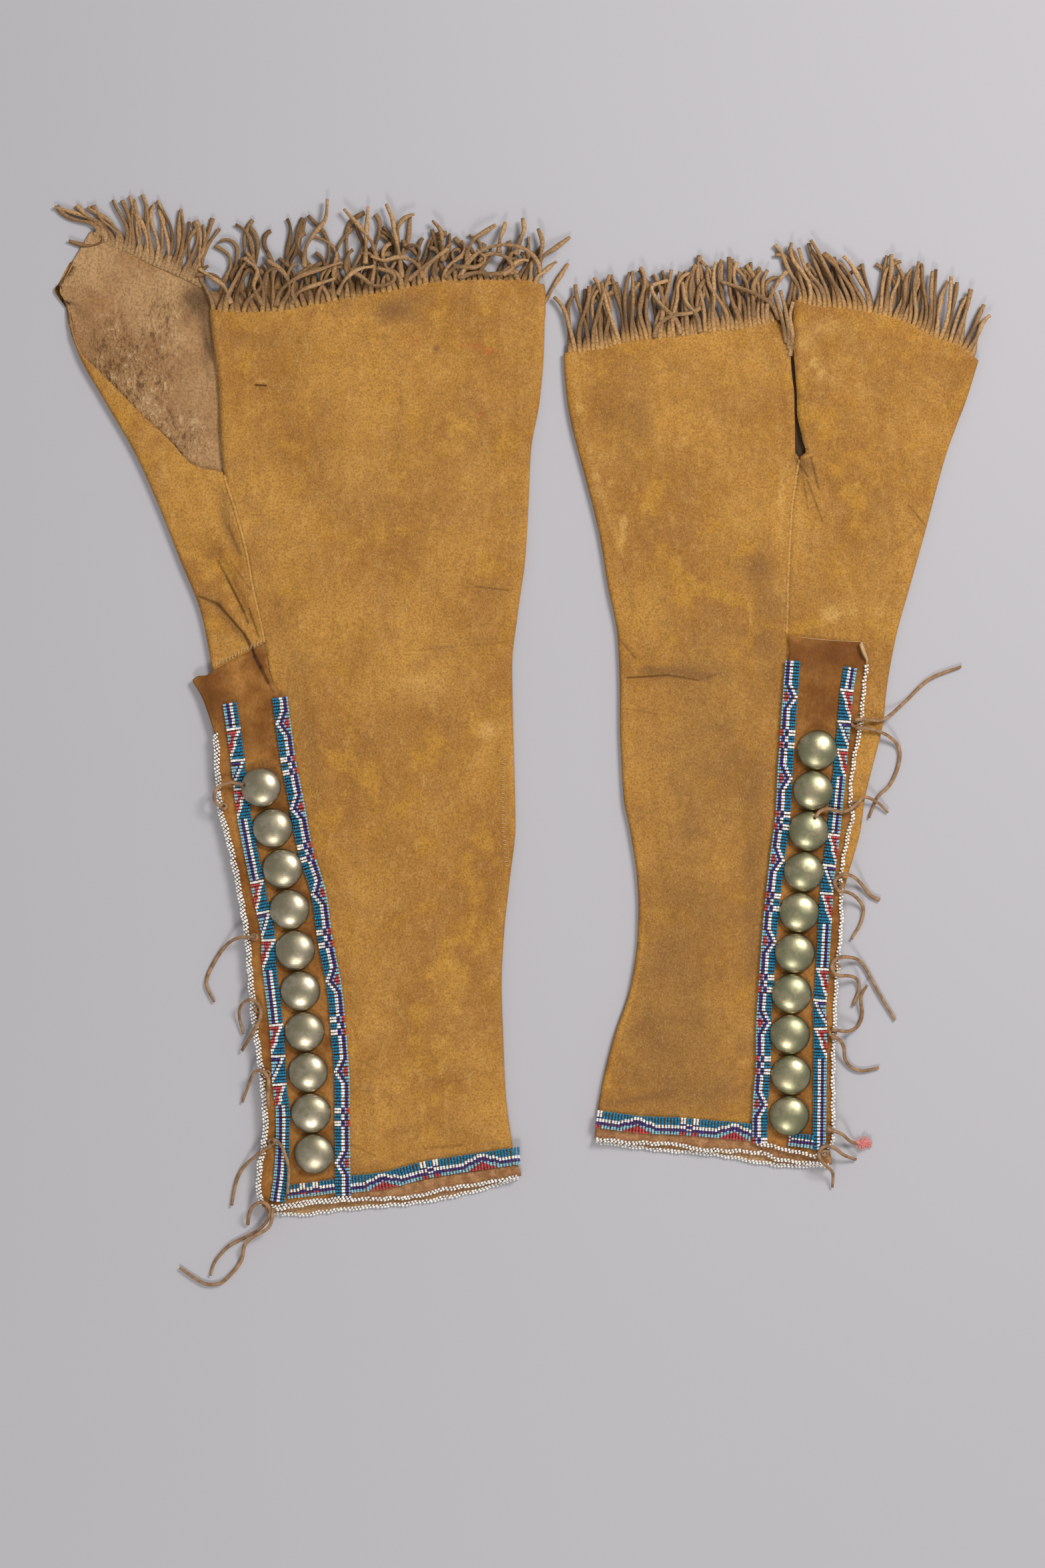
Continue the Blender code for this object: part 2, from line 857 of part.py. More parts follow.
class Legging:
    """One legging's surfaces, worked out from its tables."""

    def __init__(self, side, table):
        self.side = side
        self.table = table
        self.left = Curve([(s.y, s.left) for s in table["sections"]])
        self.right = Curve([(s.y, s.right) for s in table["sections"]])
        self.seam_left = Curve([(s.y, s.x - s.gap / 2) for s in table["seam"]])
        self.seam_right = Curve([(s.y, s.x + s.gap / 2) for s in table["seam"]])
        for name in ("top_left", "top_back", "top_right"):
            setattr(self, name, Curve(table[name]))
        for name in ("hide_foot_front", "hide_foot_back", "hem_foot_front", "hem_foot_back"):
            setattr(self, name, Curve(table[name]))
        self.flap_left = Curve([(w.y, w.left) for w in table["flap"]])
        self.flap_right = Curve([(w.y, w.right) for w in table["flap"]])
        self.flap_top = Curve(table["flap_top"])
        self.flap_foot = Curve(table["flap_foot"])
        self.lane_outer = Curve(table["lane_outer"])
        self.lane_inner = Curve(table["lane_inner"])
        self.dome_seats = self.find_dome_seats()
        self.empty = bpy.data.objects.new(side + "_legging", None)
        bpy.context.scene.collection.objects.link(self.empty)

    def fold_rise(self, inset):
        """How far the front layer stands above its middle, at a distance in from a side fold."""
        shoulder = 0.5 + 0.5 * math.cos(math.pi * FOLD_SHOULDER / FOLD_REACH)
        return FOLD_LIFT * np.interp(inset, (0, FOLD_SHOULDER, FOLD_REACH), (1, shoulder, 0))

    def ridge_rise(self, x, y):
        rise = 0.0
        for ridge in self.table["ridges"]:
            run = np.array([ridge.x1 - ridge.x0, ridge.y1 - ridge.y0])
            t = ((x - ridge.x0) * run[0] + (y - ridge.y0) * run[1]) / (run @ run)
            inside = min(max(t, 0), 1)
            away = math.hypot(x - ridge.x0 - inside * run[0], y - ridge.y0 - inside * run[1])
            rise += ridge.height * math.exp(-((away / ridge.width) ** 2))
        clear_of_folds = min(1, max(0, self.inset(x, y)) / FOLD_REACH)
        clear_of_flap = min(1, max(0, self.beside_flap(x, y) - FLAP_CLEARANCE) / FLAP_CLEARANCE)
        return rise * clear_of_folds * clear_of_flap

    def beside_flap(self, x, y):
        """How far a place lies from the flap, or 0 on it."""
        across = max(self.flap_left(y) - x, x - self.flap_right(y), 0)
        above = max(y - self.flap_top(x), 0)
        return math.hypot(across, above)

    def inset(self, x, y):
        return min(x - self.left(y), self.right(y) - x) - FOLD_INSET

    def front_z(self, x, y):
        """Height of the middle of the front layer, level just past the side folds and drooping beyond."""
        inset = self.inset(x, y)
        droop = OVERHANG_DROOP * max(0, -inset - OVERHANG_LEVEL)
        return MID_Z + self.fold_rise(inset) + self.ridge_rise(x, y) - droop

    def lines(self):
        """Lines down the hide in order from the seam's left edge, round the back, to its right edge."""
        left = [("left front", share, FOLD_REACH) for share in reversed(self.table["left_shares"])]
        left += [("left front", 0, inset) for inset in (FOLD_SHOULDER, 0)]
        left_fold = [("left fold", angle, 0) for angle in (30, -30)]
        back = [("back", share, 0) for share in (0, 0.15, 0.32, 0.5, 0.68, 0.85, 1)]
        right_fold = [("right fold", angle, 0) for angle in (-30, 30)]
        right = [("right front", 0, inset) for inset in (0, FOLD_SHOULDER)]
        right += [("right front", share, FOLD_REACH) for share in self.table["right_shares"]]
        return left + left_fold + back + right_fold + right

    def at(self, line, y):
        """A place on a line: the middle of the wall there and the way out of it, as (x, z) pairs."""
        part, amount, inset = line
        fold_left, fold_right = self.left(y) + FOLD_INSET, self.right(y) - FOLD_INSET
        if part == "back":
            return (fold_left + amount * (fold_right - fold_left), WALL / 2), (0, -1)
        if part in ("left fold", "right fold"):
            way = -1 if part == "left fold" else 1
            out = (way * math.cos(math.radians(amount)), math.sin(math.radians(amount)))
            middle = fold_left if way < 0 else fold_right
            return (middle + FOLD_RADIUS * out[0], WALL / 2 + FOLD_RADIUS * (1 + out[1])), out
        if part == "left front":
            x = fold_left + inset + amount * (self.seam_left(y) - fold_left - FOLD_REACH)
        else:
            x = fold_right - inset - amount * (fold_right - FOLD_REACH - self.seam_right(y))
        return (x, self.front_z(x, y)), (0, 1)

    def edge_height(self, line, left_front, back, right_front):
        """Where a line meets an edge of the hide that is given for each layer, as a height along the leg."""
        part = line[0]
        if part in ("left fold", "right fold"):
            front = ("left front", 0, 0) if part == "left fold" else ("right front", 0, 0)
            behind = ("back", 0 if part == "left fold" else 1, 0)
            top = self.edge_height(front, left_front, back, right_front)
            bottom = self.edge_height(behind, left_front, back, right_front)
            down = (90 - line[1]) / 180
            return top + (bottom - top) * down**2
        edge = {"left front": left_front, "back": back, "right front": right_front}[part]
        y = float(edge(self.at(line, 0)[0][0]))
        for _ in range(SOLVER_STEPS):
            y = 0.5 * y + 0.5 * float(edge(self.at(line, y)[0][0]))
        return y

    def wall_mesh(self, name, heights):
        """A wall of the tube between rows of heights, one list of heights for each line."""
        lines = self.lines()
        outer, inner = (np.zeros((len(heights[0]), len(lines), 3)) for _ in range(2))
        for k, line in enumerate(lines):
            for r, y in enumerate(heights[k]):
                (x, z), (out_x, out_z) = self.at(line, y)
                half = WALL / 2
                outer[r, k] = (x + half * out_x, y, z + half * out_z)
                inner[r, k] = (x - half * out_x, y, z - half * out_z)
        return slab_mesh(name, outer, inner)

    def hide(self):
        heights = []
        for line in self.lines():
            top = self.edge_height(line, self.top_left, self.top_back, self.top_right)
            foot = self.edge_height(line, self.hide_foot_front, self.hide_foot_back, self.hide_foot_front)
            pivot = self.table["pivot"]
            above = [top + (pivot - top) * share for share in self.table["rows_above"]]
            heights.append(above + [pivot + (foot - pivot) * share for share in self.table["rows_below"]])
        add_piece(self.side + "_hide", self.wall_mesh("hide", heights), "ochre_hide", self.empty)

    def hem_band(self):
        heights = []
        for line in self.lines():
            top = self.edge_height(line, self.hide_foot_front, self.hide_foot_back, self.hide_foot_front)
            foot = self.edge_height(line, self.hem_foot_front, self.hem_foot_back, self.hem_foot_front)
            heights.append(list(np.linspace(top - SEAM_GAP, foot, 2)))
        add_piece(self.side + "_hem_band", self.wall_mesh("hem_band", heights), "brown_leather", self.empty)

    def hem_beads(self):
        heights = []
        for line in self.lines():
            foot = self.edge_height(line, self.hem_foot_front, self.hem_foot_back, self.hem_foot_front)
            heights.append([foot - SEAM_GAP, foot - SEAM_GAP - HEM_BEAD_WIDTH])
        add_piece(self.side + "_hem_beads", self.wall_mesh("hem_beads", heights), "white_beads", self.empty)

    def flap_z(self, x, y):
        """Height of the flap's upper face, which bridges the hide's bends."""
        under = max(self.front_z(x + step, y) for step in (-FLAP_BRIDGE, 0, FLAP_BRIDGE))
        return under + WALL / 2 + SEAT_GAP + FLAP_THICKNESS

    def flap(self):
        across, down = np.linspace(0, 1, 8), np.linspace(0, 1, 16)
        upper, lower = (np.zeros((len(down), len(across), 3)) for _ in range(2))
        for k, share in enumerate(across):
            ends = []
            for end in (self.flap_top, self.flap_foot):
                y = float(end(self.flap_left(0)))
                for _ in range(SOLVER_STEPS):
                    left, right = self.flap_left(y), self.flap_right(y)
                    y = 0.5 * y + 0.5 * float(end(left + share * (right - left)))
                ends.append(y)
            for r, drop in enumerate(down):
                y = ends[0] + drop * (ends[1] - ends[0])
                left, right = self.flap_left(y), self.flap_right(y)
                x = left + share * (right - left)
                upper[r, k] = (x, y, self.flap_z(x, y))
                lower[r, k] = upper[r, k] - (0, 0, FLAP_THICKNESS)
        add_piece(self.side + "_flap", slab_mesh("flap", upper, lower), "brown_leather", self.empty)

    def band(self, name, path, width, crest, edge, under, finish):
        """A low arched band along a path, its foot a seat gap above the surface under it."""
        path = np.asarray(path, float)
        way = np.gradient(path, axis=0)
        way /= np.linalg.norm(way, axis=1)[:, None]
        rings = []
        for (x, y), (way_x, way_y) in zip(path, way):
            offset = np.array([-way_y, way_x]) * width / 2
            sides = [np.array([x, y]) - offset, np.array([x, y]) + offset]
            feet = [under(*side) + SEAT_GAP for side in sides]
            short = max(0, under(x, y) + SEAT_GAP - sum(feet) / 2)
            feet = [foot + short for foot in feet]
            middle = (x, y, sum(feet) / 2 + crest)
            ring = [(*sides[0], feet[0]), (*sides[1], feet[1])]
            ring += [(*sides[1], feet[1] + edge), middle, (*sides[0], feet[0] + edge)]
            rings.append(ring)
        add_piece(f"{self.side}_{name}", bar_mesh(name, rings), finish, self.empty)

    def lanes(self):
        for name, width in zip(("lane_outer", "lane_inner"), self.table["lane_width"]):
            rows = self.table[name]
            heights = np.linspace(rows[0].y, rows[-1].y, 18)
            middle = getattr(self, name)
            path = [(float(middle(y)), y) for y in heights]
            self.band(name, path, width, LANE_CREST, LANE_EDGE, self.flap_z, "blue_beads")
        hem_path = smooth_path(self.table["lane_hem"], 9.0)
        self.band("lane_hem", hem_path, HEM_LANE_WIDTH, LANE_CREST, LANE_EDGE, self.hide_top, "blue_beads")
        if self.table["lane_foot"]:
            foot_path = smooth_path(self.table["lane_foot"], 7.0)
            self.band("lane_foot", foot_path, FOOT_LANE_WIDTH, LANE_CREST, LANE_EDGE, self.flap_z, "blue_beads")

    def hide_top(self, x, y):
        return self.front_z(x, y) + WALL / 2

    def edging_path(self):
        """The middle of the beads along the flap's free side and foot."""
        inward = EDGING_WIDTH / 2 - EDGING_OVERHANG
        free_left = self.table["edging_side"] == "left"
        side, way = (self.flap_left, inward) if free_left else (self.flap_right, -inward)
        corner = self.table["edging_corner"]
        heights = np.linspace(self.table["edging_start"], corner.y + 8, 18)
        down = [(float(side(y)) + way, y) for y in heights]
        far = self.table["flap_foot"][-1 if free_left else 0].x
        stops = np.linspace(corner.x + (7 if free_left else -7), far + (1 if free_left else 4), 5)
        along = [(x, float(self.flap_foot(x)) + inward) for x in stops]
        return down + [corner] + along

    def edging(self):
        path = smooth_path(self.edging_path(), 13.0)
        self.band("edge_beads", path, EDGING_WIDTH, EDGING_HEIGHT, EDGING_HEIGHT, self.flap_z, "white_beads")

    def lane_top(self, x, y):
        """Height of the top of a bead lane at a place, or 0 beside the lanes."""
        for name, width in zip(("lane_outer", "lane_inner"), self.table["lane_width"]):
            middle = float(getattr(self, name)(y))
            if abs(x - middle) < width / 2:
                side = self.flap_z(middle + math.copysign(width / 2, x - middle), y)
                far = self.flap_z(middle - math.copysign(width / 2, x - middle), y)
                crest = (side + far) / 2 + LANE_CREST
                inwards = 1 - abs(x - middle) / (width / 2)
                return side + LANE_EDGE + inwards * (crest - side - LANE_EDGE) + SEAT_GAP
        return 0.0

    def find_dome_seats(self):
        """Each dome rests on the flap with its foot, or on a lane with its rim, whichever is higher."""
        rows = self.table["domes"]
        line = Curve(rows)
        places = []
        for y in np.linspace(rows[0].y, rows[-1].y, DOME_COUNT):
            x = float(line(y))
            turns = [math.radians(a) for a in range(0, 360, 45)]
            reach = DOME_SHANK_RADIUS
            under = [self.flap_z(x + reach * math.cos(a), y + reach * math.sin(a)) for a in turns]
            reach = DOME_RADIUS + 0.3
            rim = [self.lane_top(x + reach * math.cos(a), y + reach * math.sin(a)) for a in turns]
            base = max(max(under), self.flap_z(x, y), max(rim) - DOME_RIM_HEIGHT)
            places.append((x, y, base + SEAT_GAP))
        return places

    def domes(self, mesh):
        for i, place in enumerate(self.dome_seats):
            dome = bpy.data.objects.new(f"{self.side}_dome_{i + 1:02d}", mesh)
            dome.location = np.array(place) * MM
            dome.parent = self.empty
            bpy.context.scene.collection.objects.link(dome)

    def stack_top(self, x, y):
        """The highest of what lies at a place: floor, hide, flap, bead bands and domes."""
        top = 0.0
        hem_low = min(self.hem_foot_front(x), self.hem_foot_back(x)) - HEM_BEAD_WIDTH
        if self.left(y) < x < self.right(y) and hem_low - CROSSING_MARGIN < y:
            top = self.front_z(x, y) + WALL / 2
        over_sides = self.flap_left(y) - CROSSING_MARGIN < x < self.flap_right(y) + CROSSING_MARGIN
        over_ends = self.flap_foot(x) - CROSSING_MARGIN < y < self.flap_top(x) + CROSSING_MARGIN
        if over_sides and over_ends:
            top = self.flap_z(x, y) + SEAT_GAP + EDGING_HEIGHT
            for name, width in zip(("lane_outer", "lane_inner"), self.table["lane_width"]):
                if abs(x - getattr(self, name)(y)) < width / 2 + SEAT_GAP:
                    top = self.flap_z(x, y) + 2 * SEAT_GAP + LANE_CREST
        for dome_x, dome_y, base in self.dome_seats:
            away = math.hypot(x - dome_x, y - dome_y) - SEAT_GAP
            if away < DOME_RADIUS:
                radii, heights = zip((0, DOME_HEIGHT), *reversed(DOME_PROFILE[1:]))
                top = max(top, base + float(np.interp(away, radii, heights)))
        return top

    def thongs(self):
        """Each thong follows its points, lifted clear of what it crosses and eased down to the surface."""
        radius = THONG_DIAMETER / 2
        for i, points in enumerate(self.table["thongs"]):
            path = smooth_path(points, THONG_STEP)
            tops = np.array([self.stack_top(x, y) for x, y, _ in path])
            near = THONG_SMOOTHING - 1
            z = np.array([tops[max(0, k - near) : k + near + 1].max() for k in range(len(tops))])
            for k in range(1, len(z)):
                z[k] = max(z[k], z[k - 1] - THONG_SLOPE * THONG_STEP)
            for k in range(len(z) - 2, -1, -1):
                z[k] = max(z[k], z[k + 1] - THONG_SLOPE * THONG_STEP)
            padded = np.pad(z, THONG_SMOOTHING // 2, mode="edge")
            z = np.convolve(padded, np.ones(THONG_SMOOTHING) / THONG_SMOOTHING, mode="valid")
            z += radius + THONG_CLEARANCE + path[:, 2]
            route = np.column_stack([path[:, :2], z])
            length = np.linalg.norm(np.diff(route, axis=0), axis=1).sum()
            kept = np.linspace(0, len(route) - 1, max(5, round(length / (2.5 * THONG_DIAMETER)) + 1))
            route = np.stack([np.interp(kept, np.arange(len(route)), route[:, k]) for k in range(3)], axis=1)
            curve = bpy.data.curves.new("thong", "CURVE")
            curve.dimensions = "3D"
            curve.bevel_depth = radius * MM
            curve.bevel_resolution = 2
            curve.use_fill_caps = True
            spline = curve.splines.new("POLY")
            spline.points.add(len(route) - 1)
            for point, place in zip(spline.points, route * MM):
                point.co = (*place, 1)
            add_piece(f"{self.side}_thong_{i + 1}", curve, "thong_hide", self.empty)

    def top_edge(self, name):
        """The hide's upper edge that a fringe run stands on, as the straight pieces of the wall have it."""
        parts = {"back": "back", "corner": "back", "wrap": "right front"}
        part = parts.get(name, self.table["front_fringe_on"])
        found = []
        for line in self.lines():
            if line[0] == part:
                y = self.edge_height(line, self.top_left, self.top_back, self.top_right)
                found.append((self.at(line, y)[0][0], y))
        return np.array(sorted(found)).T

    def fringes(self):
        for name, count, spread, roots in self.table["fringes"]:
            self.fringe(name, count, spread, roots)

    def fringe(self, name, count, spread, roots):
        """A run of strands fused at their roots into a strip that lies just off the hide's cut edge."""
        dice = random.Random(f"{self.side} {name}")
        lowest = name in ("back", "corner")
        edge_x, edge_y = self.top_edge(name)
        tip_x = Curve([(root.x, root.tip_x) for root in roots])
        tip_y = Curve([(root.x, root.tip_y) for root in roots])
        fine = np.linspace(roots[0].x, roots[-1].x, 400)
        edge = np.column_stack([fine, np.interp(fine, edge_x, edge_y)])
        along = np.concatenate([[0], np.cumsum(np.linalg.norm(np.diff(edge, axis=0), axis=1))])
        points, faces = [], []

        def add(place):
            points.append(tuple(place))
            return len(points) - 1

        def root(at):
            return np.array([np.interp(at, along, edge[:, 0]), np.interp(at, along, edge[:, 1])])

        bottoms, uppers = [], []
        for i in range(count):
            at = along[-1] * (i + 0.5) / count
            middle = root(at)
            way = root(at + STRAND_WIDTH) - root(at - STRAND_WIDTH)
            way /= np.linalg.norm(way)
            up = np.array([-way[1], way[0]])
            base_z = WALL / 2 if lowest else self.front_z(*middle)
            half = STRIP_THICKNESS / 2
            foot = middle + up * SEAM_GAP
            head = middle + up * STRIP_HEIGHT
            bottoms.append([add((*foot, base_z + half)), add((*foot, base_z - half))])
            side = way * STRAND_WIDTH / 2
            ring = [
                add((*(head - side), base_z + half)),
                add((*(head + side), base_z + half)),
                add((*(head + side), base_z - half)),
                add((*(head - side), base_z - half)),
            ]
            uppers.append(ring)
            layer = 0 if lowest else i % STRAND_LAYERS
            wave = spread * math.sin(2 * math.pi * (head[0] / WAVE_LENGTH + layer / STRAND_LAYERS))
            reach = np.array([float(tip_x(middle[0])) + wave, float(tip_y(middle[0]))])
            reach *= dice.uniform(*STRAND_LENGTHS)
            reach[0] += dice.uniform(-STRAND_JITTER, STRAND_JITTER)
            bend = up * STRAND_BOW * np.linalg.norm(reach)
            last = ring
            for piece in range(1, STRAND_PIECES + 1):
                t = piece / STRAND_PIECES
                place = head + 2 * t * (1 - t) * bend + t * t * reach
                heading = 2 * (1 - 2 * t) * bend + 2 * t * reach
                heading /= np.linalg.norm(heading)
                across = np.array([heading[1], -heading[0]])
                climb = min(1, t / RISE_SHARE)
                rise = climb**2 * (3 - 2 * climb)
                z = base_z + LAYER_RISE * layer * rise
                if not lowest:
                    z *= 1 - TIP_DROOP * t * t
                taper = 1 - (1 - STRAND_TAPER) * t
                if piece == STRAND_PIECES:
                    tip = add((*place, z))
                    faces += [(last[k], last[(k + 1) % 4], tip) for k in range(4)]
                    break
                wide, thick = STRAND_WIDTH / 2 * taper, STRAND_THICKNESS / 2 * taper
                ring = [
                    add((*(place - across * wide), z + thick)),
                    add((*(place + across * wide), z + thick)),
                    add((*(place + across * wide), z - thick)),
                    add((*(place - across * wide), z - thick)),
                ]
                faces += [(last[k], last[(k + 1) % 4], ring[(k + 1) % 4], ring[k]) for k in range(4)]
                last = ring
        for i in range(count):
            (up_left, up_right, down_right, down_left), (foot_up, foot_down) = uppers[i], bottoms[i]
            faces += [(foot_up, up_right, up_left), (foot_down, down_left, down_right)]
            if i == count - 1:
                faces.append((up_right, foot_up, foot_down, down_right))
                continue
            next_left, next_down = uppers[i + 1][0], uppers[i + 1][3]
            next_foot_up, next_foot_down = bottoms[i + 1]
            faces.append((foot_up, next_foot_up, next_left, up_right))
            faces.append((foot_down, down_right, next_down, next_foot_down))
            faces.append((up_right, next_left, next_down, down_right))
            faces.append((foot_up, foot_down, next_foot_down, next_foot_up))
        first = uppers[0]
        faces.append((bottoms[0][0], first[0], first[3], bottoms[0][1]))
        add_piece(f"{self.side}_fringe_{name}", closed_mesh(name, points, faces), "fringe_hide", self.empty)

    def build(self, dome_mesh):
        self.hide()
        self.hem_band()
        self.hem_beads()
        self.flap()
        self.lanes()
        self.edging()
        self.domes(dome_mesh)
        self.fringes()
        self.thongs()


def make_dome_mesh():
    """A domed button turned about its own axis, its shank's foot at the origin."""
    form = bmesh.new()
    rings = []
    for radius, z in DOME_PROFILE:
        ring = []
        for k in range(DOME_SIDES):
            turn = 2 * math.pi * k / DOME_SIDES
            ring.append(form.verts.new((radius * math.cos(turn) * MM, radius * math.sin(turn) * MM, z * MM)))
        rings.append(ring)
    for low, high in zip(rings, rings[1:]):
        for k in range(DOME_SIDES):
            after = (k + 1) % DOME_SIDES
            form.faces.new((low[k], low[after], high[after], high[k]))
    form.faces.new(list(reversed(rings[0])))
    crown = form.verts.new((0, 0, DOME_HEIGHT * MM))
    for k in range(DOME_SIDES):
        form.faces.new((rings[-1][k], rings[-1][(k + 1) % DOME_SIDES], crown))
    mesh = bpy.data.meshes.new("dome")
    form.to_mesh(mesh)
    form.free()
    mesh.materials.append(material_named("dome_metal"))
    mesh.shade_smooth()
    mesh.set_sharp_from_angle(angle=math.radians(50))
    return mesh


for old in list(bpy.data.objects):
    bpy.data.objects.remove(old)

dome_mesh = make_dome_mesh()
for side, table in (("left", LEFT), ("right", RIGHT)):
    Legging(side, table).build(dome_mesh)
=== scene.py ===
"""A pair of beaded hide leggings laid side by side, seen from straight above.

Lengths in the tables are millimetres from the middle of the pair: X to the right, Y towards the thigh, and Z up from
the surface that the pair lies on.
"""

import math

import bpy
import numpy as np
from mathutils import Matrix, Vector


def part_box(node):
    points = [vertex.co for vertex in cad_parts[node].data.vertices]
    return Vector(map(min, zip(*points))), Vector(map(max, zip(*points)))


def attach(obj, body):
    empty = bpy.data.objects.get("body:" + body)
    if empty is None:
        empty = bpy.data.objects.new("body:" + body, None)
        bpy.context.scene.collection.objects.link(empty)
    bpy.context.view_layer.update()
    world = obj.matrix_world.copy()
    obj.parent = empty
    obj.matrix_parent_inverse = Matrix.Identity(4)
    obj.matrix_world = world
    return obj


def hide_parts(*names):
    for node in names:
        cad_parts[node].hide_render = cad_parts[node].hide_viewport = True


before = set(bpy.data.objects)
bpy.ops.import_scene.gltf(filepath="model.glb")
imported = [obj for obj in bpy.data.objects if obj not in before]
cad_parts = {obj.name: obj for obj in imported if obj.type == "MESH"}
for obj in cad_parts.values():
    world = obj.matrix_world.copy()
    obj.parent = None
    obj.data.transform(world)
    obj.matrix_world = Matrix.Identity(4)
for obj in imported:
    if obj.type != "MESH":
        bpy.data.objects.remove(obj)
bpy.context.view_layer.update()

# --- The surface under the pair, the lamps and the camera
# The pair lies on a wide sheet of pale lilac-grey paper. A large soft lamp stands at the upper right and a weaker one
# below, and the camera hangs straight above with the thigh ends at the top of its view.
MM = 0.001
PAPER_GREY = (0.445, 0.426, 0.442)
PAPER_REACH, PAPER_LEVEL = 3.0, -0.0003
ROOM_COLOUR, ROOM_STRENGTH = (0.97, 0.98, 1.0, 1), 0.42
VIEW_MIDDLE = (0.0029, -0.0488)
VIEW_HEIGHT = 2.4
VIEW_LENS = 89.6


class Shade:
    """One output of a finish's nodes. Each sum, product or power of it adds a Math node."""

    def __init__(self, finish, socket):
        self.finish = finish
        self.socket = socket

    def math(self, operation, other):
        return self.finish.node("ShaderNodeMath", {"operation": operation}, {0: self, 1: other})

    def __add__(self, other):
        return self.math("ADD", other)

    def __sub__(self, other):
        return self.math("SUBTRACT", other)

    def __mul__(self, other):
        return self.math("MULTIPLY", other)

    def __pow__(self, other):
        return self.math("POWER", other)

    __rmul__ = __mul__


class Finish:
    """A material for one kind of surface, made of nodes that read Object coordinates or the piece's attributes."""

    def __init__(self, name, roughness, metallic=0.0, **constants):
        self.material = bpy.data.materials.new(name)
        self.material.use_nodes = True
        self.tree = self.material.node_tree
        self.shader = self.tree.nodes["Principled BSDF"]
        self.shader.inputs["Roughness"].default_value = roughness
        self.shader.inputs["Metallic"].default_value = metallic
        for socket, value in constants.items():
            self.feed(self.shader.inputs[socket.replace("_", " ")], value)

    def feed(self, socket, value):
        if isinstance(value, Shade):
            self.tree.links.new(value.socket, socket)
        elif hasattr(value, "__len__") and len(socket.default_value) > len(value):
            socket.default_value = (*value, 1)
        else:
            socket.default_value = value

    def node(self, kind, settings=None, sockets=None, output=0):
        """Adds a node: first its settings, then the values or links of its sockets."""
        made = self.tree.nodes.new(kind)
        for key, value in (settings or {}).items():
            setattr(made, key, value)
        for key, value in (sockets or {}).items():
            self.feed(made.inputs[key], value)
        return Shade(self, made.outputs[output])

    def noise(self, size, detail=3.0, rough=0.5, stretch=(1, 1, 1), turn=0.0):
        """Noise whose patches are about that many millimetres wide, stretched by shares along turned axes."""
        place = self.node("ShaderNodeTexCoord", output="Object")
        sockets = {"Vector": place, "Rotation": (0, 0, turn), "Scale": tuple(1 / s for s in stretch)}
        place = self.node("ShaderNodeMapping", None, sockets)
        sockets = {"Vector": place, "Scale": 1 / (size * MM), "Detail": detail, "Roughness": rough}
        return self.node("ShaderNodeTexNoise", None, sockets)

    def fade(self, value, low, high, to_low=0.0, to_high=1.0):
        """Runs smoothly from one number to the other while the value goes from low to high."""
        sockets = {"Value": value, "From Min": low, "From Max": high, "To Min": to_low, "To Max": to_high}
        return self.node("ShaderNodeMapRange", {"interpolation_type": "SMOOTHSTEP"}, sockets)

    def mix(self, share, first, second):
        """The first colour where the share is 0 and the second where it is 1."""
        return self.node("ShaderNodeMix", {"data_type": "RGBA"}, {0: share, 6: first, 7: second}, 2)

    def cover(self, base, value, start, whole, most, colour):
        """A colour over the base: a share of 0 where the value is at its start, and the most where it is whole."""
        return self.mix(self.fade(value, start, whole, 0, most), base, colour)

    def blend(self, value, low, high, first, second):
        """From the first colour to the second while the value goes from low to high."""
        return self.mix(self.fade(value, low, high), first, second)

    def attribute(self, name, output="Fac"):
        return self.node("ShaderNodeAttribute", {"attribute_name": name}, None, output)

    def line(self, x0, y0, x1, y1, width):
        """1 on the line between two places and 0 at half that width from it: the distance to the nearest point, which
        is at a share of the run held between 0 and 1. All are in millimetres."""
        place = self.node("ShaderNodeTexCoord", output="Object")
        x = self.node("ShaderNodeSeparateXYZ", None, {0: place}, 0) * (1 / MM) - x0
        y = self.node("ShaderNodeSeparateXYZ", None, {0: place}, 1) * (1 / MM) - y0
        run_x, run_y = x1 - x0, y1 - y0
        share = (x * run_x + y * run_y) * (1 / (run_x**2 + run_y**2))
        share = self.node("ShaderNodeClamp", None, {0: share})
        across, up = x - share * run_x, y - share * run_y
        return self.fade((across * across + up * up) ** 0.5, width / 2, 0.1 * width)

    def colour(self, value):
        self.feed(self.shader.inputs["Base Color"], value)

    def relief(self, height, depth):
        """Raises and sinks the surface's light by up to that many millimetres."""
        bump = self.node("ShaderNodeBump", None, {"Height": height, "Distance": depth * MM})
        self.feed(self.shader.inputs["Normal"], bump)


def soft_lamp(name, place, size, power):
    """A square lamp turned to face the middle of the pair."""
    lamp = bpy.data.lights.new(name, "AREA")
    lamp.size = size
    lamp.energy = power
    holder = bpy.data.objects.new(name, lamp)
    holder.location = place
    holder.rotation_euler = (-Vector(place)).to_track_quat("-Z", "Y").to_euler()
    bpy.context.scene.collection.objects.link(holder)


paper_mesh = bpy.data.meshes.new("paper_sheet")
corners = [(-1, -1), (1, -1), (1, 1), (-1, 1)]
paper_mesh.from_pydata([(x * PAPER_REACH, y * PAPER_REACH, PAPER_LEVEL) for x, y in corners], [], [(0, 1, 2, 3)])
paper = bpy.data.objects.new("paper_sheet", paper_mesh)
paper_finish = Finish("pale_paper", 0.9)
tooth = paper_finish.noise(260, 2.0)
paper_finish.colour(paper_finish.mix(tooth, PAPER_GREY, tuple(1.03 * c for c in PAPER_GREY)))
paper_mesh.materials.append(paper_finish.material)
bpy.context.scene.collection.objects.link(paper)

